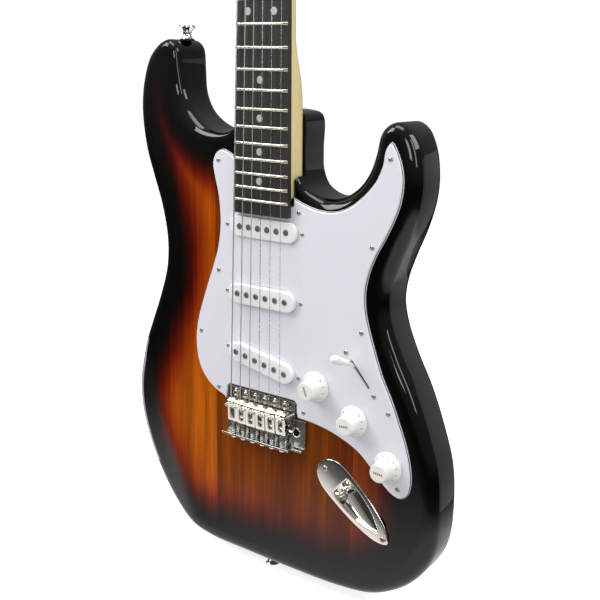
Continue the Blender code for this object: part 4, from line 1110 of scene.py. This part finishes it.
def make_guard():
    outline = smooth_curve(GUARD_RIGHT, 2.5, closed=False)
    outline += [Vector((36.5, 647.0)), Vector((36.5, 640.1)), Vector((34.6, 638.1)), Vector((33, 637.9))]
    outline += [Vector((-37, 637.9)), Vector((-39.3, 639.4)), Vector((-39.4, 645.0))]
    outline += smooth_curve(GUARD_LEFT, 2.5, closed=False)
    outline += [Vector((-29.6, 467.6)), Vector((-28.6, 468.4)), Vector((28.6, 468.4)), Vector((29.6, 467.6))]
    holes = []
    for station, slant, _ in PICKUPS.values():
        holes.append(turned_plan(stadium(COVER[0] + 0.8, COVER[1] + 0.8), (0, station), math.radians(slant)))
    holes.append(turned_plan(rounded_box(-14, 14, -1.3, 1.3, 1.2, 4), SWITCH_CENTRE, SWITCH_ANGLE))
    profile = [(0, GUARD_BACK), (0, -0.95), (0.25, -1.2), (0.75, -1.75), (1.35, -2.4), (1.65, -2.57),
               (2.1, GUARD_FRONT)]
    shape = Shape().slab(outline, holes, profile, [0, 0, 1, 0, 0, 0])
    shape.piece("guard_plies", ROOT, [WHITE_PLY, BLACK_PLY], "guard", ["pickguard"], flat=True)
    spots = [(-50, 436), (36, 473), (-50, 533), (-71, 593), (-50, 643), (120, 423), (107, 493), (100, 564)]
    spots += [(128, 627), (140, 690), (45, 646)]
    heads = screws(Shape(), [at(x, GUARD_FRONT + 0.35, s) for x, s in spots], FORWARD, 2.35)
    heads.piece("guard_screws", ROOT, SCREW_NICKEL, "chrome")
    heads = screws(Shape(), [at(86, GUARD_FRONT + 0.15, 583), at(114, GUARD_FRONT + 0.15, 615)], FORWARD, 2.3)
    for station, slant, _ in PICKUPS.values():
        ends = turned_plan([(-39.65, 0), (39.65, 0)], (0, station), math.radians(slant))
        screws(heads, [at(p.x, GUARD_FRONT + 0.2, p.y) for p in ends], FORWARD, 2.1)
    heads.piece("control_screws", ROOT, SCREW_NICKEL, "chrome")


def make_pickups():
    for name, (station, slant, height) in PICKUPS.items():
        angle = math.radians(slant)

        def oval(less_length, less_width, steps=20):
            """The cover's outline made smaller."""
            shape = stadium(COVER[0] - less_length, COVER[1] - less_width, steps)
            return turned_plan(shape, (0, station), angle)

        span = POLE_SPANS[name] / math.cos(angle)
        poles = turned_plan([(span * (k / 5 - 0.5), 0) for k in range(6)], (0, station), angle)
        edge = 1.6
        arc = []
        for k in range(7):
            turn = math.pi / 2 * k / 6
            arc.append((edge * (1 - math.cos(turn)), -height + edge * (1 - math.sin(turn))))
        holes = [turned_plan(circle(2.75, 24), pole, 0) for pole in poles]
        cover = Shape().slab(oval(0, 0), holes, [(0, -1.0), *arc])
        cover.slab(oval(0, 0), [oval(3, 3)], [(0, 9.0), (0, -1.0)])
        cover.piece(f"{name}_cover", ROOT, COVER_LOOK, "cover", [f"{name}_pickup_cover"])
        magnets = Shape()
        for pole in poles:
            magnets.turned([(0, -9), (2.4, -9), (2.4, 0.45), (2.15, 0.75), (0, 0.8)],
                           facing(at(pole.x, -height, pole.y), FORWARD), 28)
        magnets.piece(f"{name}_poles", ROOT, POLE, "coil")
        profile = [(0, 11.5), (0, 11.0), (1.2, 10.6), (1.2, 4 - height), (0, 3.6 - height), (0, 2.2 - height)]
        winding = Shape().slab(oval(4.6, 5.0), [], profile)
        winding.piece(f"{name}_winding", ROOT, COIL, "coil", [f"{name}_pickup_coil"])


def numeral(text):
    """Points and faces of a numeral one unit high, centred, in local x and y, a little thick in z."""
    curve = bpy.data.curves.new("numeral", "FONT")
    curve.body, curve.size, curve.extrude = text, 1.0, 0.012
    curve.align_x, curve.align_y, curve.resolution_u = "CENTER", "CENTER", 4
    obj = bpy.data.objects.new("numeral", curve)
    bpy.context.scene.collection.objects.link(obj)
    bpy.context.view_layer.update()
    mesh = bpy.data.meshes.new_from_object(obj.evaluated_get(bpy.context.evaluated_depsgraph_get()))
    bpy.data.objects.remove(obj)
    return [v.co.copy() for v in mesh.vertices], [tuple(p.vertices) for p in mesh.polygons]


def knob_rings():
    """The knob's sections, with fine ribs round its grip."""
    rings = []
    for radius, height in KNOB_PROFILE:
        ribs = 0.16 if 8.0 < height < 15.2 else 0.0
        radii = [radius - ribs * (k % 4 < 2) for k in range(144)]
        rings.append([(x * r, y * r, height) for r, (x, y) in zip(radii, circle(1.0, 144))])
    return rings


def on_skirt(point, bearing):
    """A numeral's point laid on the knob's sloping skirt, 3 mm to the numeral's unit."""
    (low_radius, low), (high_radius, high) = (12.75, 1.9), (8.95, 6.6)
    t = 0.5 + point.y * 3.0 / math.hypot(low_radius - high_radius, high - low)
    radius = low_radius + (high_radius - low_radius) * t
    turn = bearing + math.pi / 2 + point.x * 3.0 / radius
    lift = 0.1 + point.z * 3.0
    spread = radius + lift
    return Vector((math.cos(turn) * spread, math.sin(turn) * spread, low + (high - low) * t + lift * 0.8))


def make_knobs():
    numerals = [numeral(str(k)) for k in range(1, 11)]
    for name, (x, station) in KNOBS.items():
        place = facing(at(x, GUARD_FRONT - 0.3, station), FORWARD, (1, 0, 0))
        shell = Shape().rings(knob_rings(), 0, place)
        shell.piece(f"{name}_knob_shell", f"{name}_control", KNOB, "cover", [f"{name}_knob"], angle=28)
        marks = Shape()
        for number, (verts, faces) in enumerate(numerals, 1):
            bearing = math.radians(-165 + 30 * number)
            marks.add([on_skirt(v, bearing) for v in verts], faces, 0, place)
        row = place @ Matrix.Rotation(math.radians(KNOB_TURN[name]), 4, "Z")
        for k in range(5):
            marks.box((1.15, 2.0, 0.12), row @ Matrix.Translation(((k - 2) * 1.75, 0, 16.12)), bevel=0.04)
        marks.piece(f"{name}_knob_marks", f"{name}_control", GOLD, "cover")


def make_selector():
    x, station = SWITCH_CENTRE
    along = Vector((math.cos(SWITCH_ANGLE), 0.0, -math.sin(SWITCH_ANGLE)))
    base = facing(at(x, 0.0, station), FORWARD, along)
    lever = base @ Matrix.Translation((0, 0, -SWITCH_PIVOT_DEPTH)) @ Matrix.Rotation(LEVER_TILT, 4, "Y")
    blade = Shape().box((3.6, 1.2, 38), lever @ Matrix.Translation((0, 0, 14)), bevel=0.3)
    blade.piece("switch_blade", "selector", CHROME, "chrome", ["switch_lever"])
    tip = Shape().turned(SWITCH_TIP_PROFILE, lever, 40)
    tip.piece("switch_cap", "selector", KNOB, "cover", ["switch_tip"])


# ---------------------------------------------------------------------------------------------------
# Bridge, springs, back
# ---------------------------------------------------------------------------------------------------


def coil(shape, x, y, start, end, radius, wire, turns):
    """Adds a coil spring along z between two stations."""
    points = []
    per_turn = 14
    steps = turns * per_turn
    for k in range(steps + 1):
        turn = math.tau * k / per_turn
        station = start + (end - start) * k / steps
        points.append(at(x + radius * math.cos(turn), y + radius * math.sin(turn), station))
    return shape.tube(points, wire, 6)


def saddle_section(top):
    """The bent plate of one saddle seen from its side, as (station, y) pairs round its outline."""
    front, rear, low, wall = CROWN_STATION - 2.6, CROWN_STATION + 18.6, -4.7, 1.35
    outer = [
        (front, low - 0.6), (front - 0.1, top + 2.6), (front + 0.35, top + 1.1), (front + 1.2, top + 0.3),
        (front + 2.5, top), (front + 4.2, top + 0.15), (front + 7, top + 0.7), (rear - 3.0, top + 1.3),
        (rear - 1.2, top + 1.7), (rear - 0.3, top + 2.6), (rear, top + 3.8), (rear, low),
    ]
    inner = [
        (rear - wall, low), (rear - wall, top + 4.0), (rear - wall - 0.6, top + 3.1), (rear - 3.4, top + 2.7),
        (front + 6.6, top + 2.1), (front + 3.6, top + 1.6), (front + 2.2, top + 1.7),
        (front + wall, top + 2.9), (front + wall, low - 0.6),
    ]
    return outer + inner


def make_bridge():
    plan = rounded_polygon(((-39, 638.4), (36, 638.4), (36, 654), (36, 682), (-39, 682)), 2.6, 5)
    tab = rounded_polygon(((33, 654), (47.5, 654), (47.5, 680), (33, 680)), 0.8, 3)
    arm = turned_plan(circle(3.3, 28), ARM_HOLE, 0)
    slots = [turned_plan(stadium(9.0, 4.2, 8), (string_x(string, SCALE), 663.2), math.pi / 2)
             for string in range(6)]
    edge = [(0, PLATE_BACK), (0, PLATE_FRONT + 0.5), (0.2, PLATE_FRONT + 0.12), (0.5, PLATE_FRONT)]
    plate = Shape().slab(plan, slots, edge)
    plate.slab(tab, [arm], [(0, PLATE_BACK - 0.05), (0, PLATE_FRONT + 0.9), (0.2, PLATE_FRONT + 0.55),
                            (0.5, PLATE_FRONT + 0.4)])
    plate.box((75, 9.6, 2.0), Matrix.Translation(at(-1.5, -7.2, 681.4)), bevel=0.45)
    plate.box((12, 5.0, 1.8), Matrix.Translation(at(40, -4.2, 681.2)), bevel=0.4)
    plate.piece("bridge_base", BRIDGE, PLATE_STEEL, "chrome", ["bridge_plate"], flat=True)
    spot = at(ARM_HOLE[0], PLATE_FRONT + 0.4, ARM_HOLE[1])
    collar = Shape().turned(ARM_COLLAR_PROFILE, facing(spot, FORWARD), 36)
    collar.piece("arm_collar", BRIDGE, CHROME, "chrome")
    pivots, seats = Shape(), Shape()
    for k in range(6):
        spot = at(-1.5 + 54.7 * (k / 5 - 0.5), PLATE_FRONT + 0.1, 643.5)
        seats.turned(PIVOT_SEAT_PROFILE, facing(spot, FORWARD), 32)
        screws(pivots, [spot - Vector((0, 0.75, 0))], FORWARD, 2.85)
    seats.piece("pivot_seats", BRIDGE, CHROME, "chrome")
    pivots.piece("pivot_screws", ROOT, SCREW_NICKEL, "chrome")


def make_saddles():
    stems, studs, springs = Shape(), Shape(), Shape()
    for string in range(6):
        x = string_x(string, SCALE)
        top = -(14.4 - crown(x)) + 0.25 + STRING_RADII[string]
        section = saddle_section(top)
        sides = (-5.05, -4.95, 4.95, 5.05)
        block = Shape().rings([[at(x + side, y, s) for s, y in section] for side in sides])
        saddle = block.piece(f"saddle_plate_{string + 1}", None, [], angle=40)
        slot = turned_plan(stadium(11.5, 4.3, 8), (x, CROWN_STATION + 9.3), math.pi / 2)
        cut(saddle, Shape().slab(slot, [], [(0, -6.0), (0, -20.0)]))
        saddle.data.materials.append(CHROME)
        saddle.data.shade_smooth()
        saddle.data.set_sharp_from_angle(angle=math.radians(40))
        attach(saddle, BRIDGE)
        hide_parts(f"saddle_{string + 1}")
        tall = -PLATE_FRONT - top
        profile = [(0, 0), (1.25, 0), (1.45, 0.3), (1.45, tall - 2.4), (1.2, tall - 2.1), (0.75, tall - 2.1),
                   (0.7, tall - 3.4), (0, tall - 3.4)]
        for side in (-1, 1):
            foot = at(x + side * 3.55, PLATE_FRONT - 0.02, CROWN_STATION + 1.6)
            studs.turned(profile, facing(foot, FORWARD), 20)
        y = -8.4
        stems.turned(INTONATION_PROFILE, facing(at(x, y, CROWN_STATION + 17.4), (0, 0, -1)), 24)
        coil(springs, x, y, CROWN_STATION + 18.8, 680.2, 2.15, 0.42, 7)
    studs.piece("height_screws", BRIDGE, CHROME, "chrome")
    stems.piece("intonation_screws", BRIDGE, CHROME, "chrome")
    springs.piece("intonation_springs", BRIDGE, STEEL, "chrome")


def make_block():
    """The block under the bridge, and the strings' ball ends inside it."""
    spots = [(string_x(string, SCALE), STRING_HOLE) for string in range(6)]
    holes = [turned_plan(circle(2.0, 16), spot, 0) for spot in spots]
    holes.append(turned_plan(circle(3.2, 24), ARM_HOLE, 0))
    block = Shape().slab(rounded_box(-30.9, 44.4, 657.6, 671.9, 1.0, 3), holes,
                         [(0.6, 40.9), (0, 40.3), (0, -0.2), (0.5, -0.7)])
    block.piece("sustain_block", BRIDGE, CAST, "steel", ["tremolo_block"])
    balls = Shape()
    for x, station in spots:
        balls.turned([(0, 0), (1.9, 0), (1.9, 2.2), (1.2, 3.2), (0, 3.4)],
                     facing(at(x, 12.4, station), FORWARD), 20)
    balls.piece("ball_ends", BRIDGE, GOLD, "string")


def make_springs():
    for number, x in enumerate((-20.0, 0.0, 20.0), 1):
        shape = coil(Shape(), x, 36.0, 566.5, 650.5, 3.35, 0.6, 62)
        for stations in ((566.5, 564.5, 563.4, 561.0), (650.5, 652.6, 653.6, 657.0)):
            shape.tube([at(x + dx, 36, station) for dx, station in zip((3.35, 2.0, 0, 0), stations)], 0.6, 6)
        name = f"coil_spring_{number}"
        spring = shape.piece(name, None, STEEL, "steel", [f"tremolo_spring_{number}"], angle=60)
        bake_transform(spring)
    claw = Shape().box((60, 11.6, 1.9), Matrix.Translation(at(0, 36, 559)), bevel=0.4)
    for x in (-20, -10, 0, 10, 20):
        claw.box((2.6, 3.0, 6.0), Matrix.Translation(at(x, 36, 562.4)), bevel=0.5)
    for x in (-11, 11):
        claw.turned([(0, 0), (2.0, 0), (2.0, 15), (0, 15)], facing(at(x, 36, 560), (0, 0, 1)), 20)
    screws(claw, [at(-11, 36, 560.6), at(11, 36, 560.6)], (0, 0, -1), 3.0)
    claw.piece("claw_plate", ROOT, STEEL, "steel", ["spring_claw"])


def make_back():
    edge = [(0, 45.35), (0, 46.2), (0.35, 46.55), (1.0, 47.15), (1.3, 47.25)]
    cover = Shape().slab(rounded_box(-44, 54, 536, 690, 9, 8), [rounded_box(-32, 32, 657, 673, 4, 6)], edge,
                         [0, 1, 0, 0])
    cover.piece("back_plies", ROOT, [WHITE_PLY, BLACK_PLY], "guard", ["back_cover"], flat=True)
    spots = [(-39, 541), (49, 541), (-39, 613), (49, 613), (-39, 685), (49, 685)]
    heads = screws(Shape(), [at(x, 46.15, s) for x, s in spots], BACKWARD, 2.35)
    heads.piece("back_screws", ROOT, SCREW_NICKEL, "chrome")
    plate = Shape().slab(rounded_box(-25.4, 25.4, 396, 460, 5, 8), [],
                         [(0, 45.35), (0, 46.4), (0.25, 46.8), (0.7, 46.95)])
    plate.piece("heel_plate", ROOT, CHROME, "chrome", ["neck_plate"], flat=True)
    spots = [(-19, 402.5), (19, 402.5), (-19, 453.5), (19, 453.5)]
    heads = screws(Shape(), [at(x, 45.4, s) for x, s in spots], BACKWARD, 3.9)
    heads.piece("heel_screws", ROOT, CHROME, "chrome")


def make_strap_buttons():
    for name, base, up in (("upper", at(-107.3, 22.5, 334.9), 1), ("lower", at(-4.0, 22.5, 806.9), -1)):
        axis = Vector((0, 0, up))
        place = facing(base, axis)
        button = Shape().turned(STRAP_BUTTON_PROFILE, place, 48)
        button.piece(f"{name}_button", ROOT, CHROME, "chrome", [f"{name}_strap_button"])
        head = screws(Shape(), [base + axis * 10.6], axis, 2.9)
        head.piece(f"{name}_button_screw", ROOT, SCREW_NICKEL, "chrome")
        felt = Shape().turned([(0, -1.5), (6.4, -1.5), (6.7, -0.6), (6.4, 0.35), (0, 0.35)], place, 40)
        felt.piece(f"{name}_felt", ROOT, FELT, "chrome")


def turned_ring(outer, inner, height):
    """A flat ring between two outlines, as points and faces, from local z 0 to the height."""
    outer, inner = anticlockwise(outer), anticlockwise(inner)
    verts, faces = triangulated([outer, inner])
    points = [(v.x, v.y, z) for z in (0.0, height) for v in verts]
    count = len(verts)
    made = [tuple(f) for f in faces] + [tuple(count + i for i in f) for f in faces]
    for loop in (outer, inner):
        base = len(points)
        points += [(p[0], p[1], z) for z in (0.0, height) for p in loop]
        size = len(loop)
        pairs = [(i, (i + 1) % size) for i in range(size)]
        made += [(base + i, base + j, base + size + j, base + size + i) for i, j in pairs]
    return points, made


def recess_half_width(u):
    """Half the recess's width at u along the jack plate."""
    return np.interp((u - RECESS_WALL) / RECESS_LENGTH, RECESS_SHARES, RECESS_WIDTHS)


def jack_top(v):
    """The jack plate's height above the body at v across it, slightly crowned."""
    return 1.72 - 0.5 * min(1.0, abs(v) / 16.0) ** 2


def quarter_round(distance):
    """Drop of a rounded rim at a distance inside it."""
    return RECESS_RIM - math.sqrt(max(RECESS_RIM ** 2 - distance ** 2, 0.0))


def recess_side(u, across):
    """Depth of the recess where only its long sides bound it. across runs from -1 to 1."""
    half = recess_half_width(u)
    edge = half * (1 - abs(across))
    if edge < RECESS_RIM:
        return quarter_round(edge)
    inner = min(1.0, abs(across) * half / max(half - RECESS_RIM, 1e-3))
    floor = max(RECESS_DEPTH * (1 - 0.9 * ((u - RECESS_WALL) / RECESS_LENGTH) ** 1.25), RECESS_RIM)
    return RECESS_RIM + (floor - RECESS_RIM) * (1 - inner ** 3.2) ** 0.62


def recess_drop(u, across):
    """Depth of the recess, with the socket's wall and the fillet at its foot."""
    gap = u - RECESS_WALL
    end = quarter_round(gap) if gap < RECESS_RIM else RECESS_RIM + 2.19 * (gap - RECESS_RIM)
    side = recess_side(u, across)
    fillet = max(1.2 - abs(side - end), 0.0) / 1.2
    fade = min(1.0, (RECESS_WALL + RECESS_LENGTH - u) / 1.5)
    return fade * max(min(side, end) - fillet * fillet * 0.3 * min(1.0, min(side, end)), 0.0)


def recess_rows():
    """Rows of points along the recess, one for each share of its width, closer at the wall and sides."""
    rows = []
    for k in range(49):
        across = math.sin(math.pi * (k / 48 - 0.5))
        side = max(recess_side(RECESS_WALL + 6.0, across) - RECESS_RIM, 0.0)
        foot = RECESS_WALL + min(RECESS_RIM + side / 2.19, 7.0)
        shares = (0, 0.05, 0.1, 0.15, 0.25, 0.4, 0.55, 0.7, 0.85, 0.95)
        stations = [RECESS_WALL + (foot - RECESS_WALL) * share for share in shares]
        stations += [foot + (RECESS_WALL + RECESS_LENGTH - foot) * (q / 44) ** 1.15 for q in range(45)]
        row = []
        for u in stations:
            v = across * recess_half_width(u)
            row.append((u, v, jack_top(v) - recess_drop(u, across)))
        rows.append(row)
    return rows


def make_jack_plate(base):
    half = ((-43.5, 0), (-40.5, 9), (-31, 15), (-6, 16), (18, 13.4), (37, 7.8), (45, 0))
    plan = anticlockwise(smooth_curve(half + tuple((u, -v) for u, v in half[-2:0:-1]), 1.4))
    rows = recess_rows()
    count = len(rows[0])
    quads = [(r * count + c, r * count + c + 1, (r + 1) * count + c + 1, (r + 1) * count + c)
             for r in range(len(rows) - 1) for c in range(count - 1)]
    shape = Shape().add([point for row in rows for point in row], quads, 0, base)
    rim = [*rows[0], *[row[-1] for row in rows[1:-1]], *rows[-1][::-1], *[row[0] for row in rows[-2:0:-1]]]
    loop = []
    for point in rim:
        spot = Vector(point[:2])
        if not loop or min((spot - loop[-1]).length, (spot - loop[0]).length) > 2e-3:
            loop.append(spot)
    border = inset_loop(plan, 0.6)
    verts, faces = triangulated([border, loop], inside_points(border, 1.6, 1.2))
    shape.add([(v.x, v.y, jack_top(v.y)) for v in verts], faces, 0, base)
    edge = ((0.6, 0.0), (0.3, 0.1), (0.08, 0.35), (0.0, 0.7), (0.0, 1.15))
    rings = [[(p.x, p.y, jack_top(p.y) - drop) for p in inset_loop(plan, inset)] for inset, drop in edge]
    shape.rings(rings, caps=False, matrix=base)
    cup = shape.piece("jack_cup", ROOT, CHROME, "chrome", ["jack_plate"], angle=70)
    shell = cup.modifiers.new("sheet", "SOLIDIFY")
    shell.thickness, shell.offset = 0.5 * MM, -1.0
    cup.modifiers.new("flat_shading", "WEIGHTED_NORMAL").keep_sharp = True


def make_jack():
    x, station = JACK_CENTRE
    along = Vector((math.cos(JACK_ANGLE), 0.0, -math.sin(JACK_ANGLE)))
    base = facing(at(x, 0.0, station), FORWARD, along)
    make_jack_plate(base)
    axis = (base.to_3x3() @ Vector((0.91, 0.0, 0.415))).normalized()
    spot = facing(base @ Vector((-12.6, 0.0, -8.0)), axis, FORWARD)
    hexagon = rounded_polygon(circle(6.9, 6), 0.7, 3)
    washer = [(7.8, 0.2), (7.8, -1.2), (4.4, -1.2), (4.4, 0.2), (7.8, 0.2)]
    sleeve = [(3.2, -8), (3.2, 3.4), (3.4, 3.7), (4.1, 3.6), (4.35, 3.2), (4.35, -8), (3.2, -8)]
    socket = Shape().add(*turned_ring(hexagon, circle(4.3, 28), 2.2), 0, spot)
    socket.turned(washer, spot, 36).turned(sleeve, spot, 36)
    socket.piece("jack_nut", ROOT, CHROME, "steel")
    # A near-black plug fills the socket's sleeve: painted shade for the dark inside the hole.
    throat = [(3.15, 3.0), (3.15, -5.9), (0, -6.0)]
    Shape().turned(throat, spot, 24).piece("jack_hole_shade", ROOT, HOLE_SHADE, "steel")
    spots = [base @ Vector((u, 0, 1.95)) for u in (-36.8, 39.8)]
    screws(Shape(), spots, FORWARD, 2.7).piece("jack_screws", ROOT, SCREW_NICKEL, "chrome")


def dress_cad():
    """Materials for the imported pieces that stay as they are."""
    looks = {"volume_pot": STEEL, "neck_tone_pot": STEEL, "middle_tone_pot": STEEL, "selector_switch": WAFER,
             "truss_rod": STEEL, "output_jack": STEEL}
    for name, look in looks.items():
        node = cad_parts[name]
        node.data.materials.clear()
        node.data.materials.append(look)


make_neck()
make_fretboard()
make_nut()
make_tuners()
make_strings()
make_guard()
make_pickups()
make_knobs()
make_selector()
make_bridge()
make_saddles()
make_block()
make_springs()
make_back()
make_strap_buttons()
make_jack()
dress_cad()
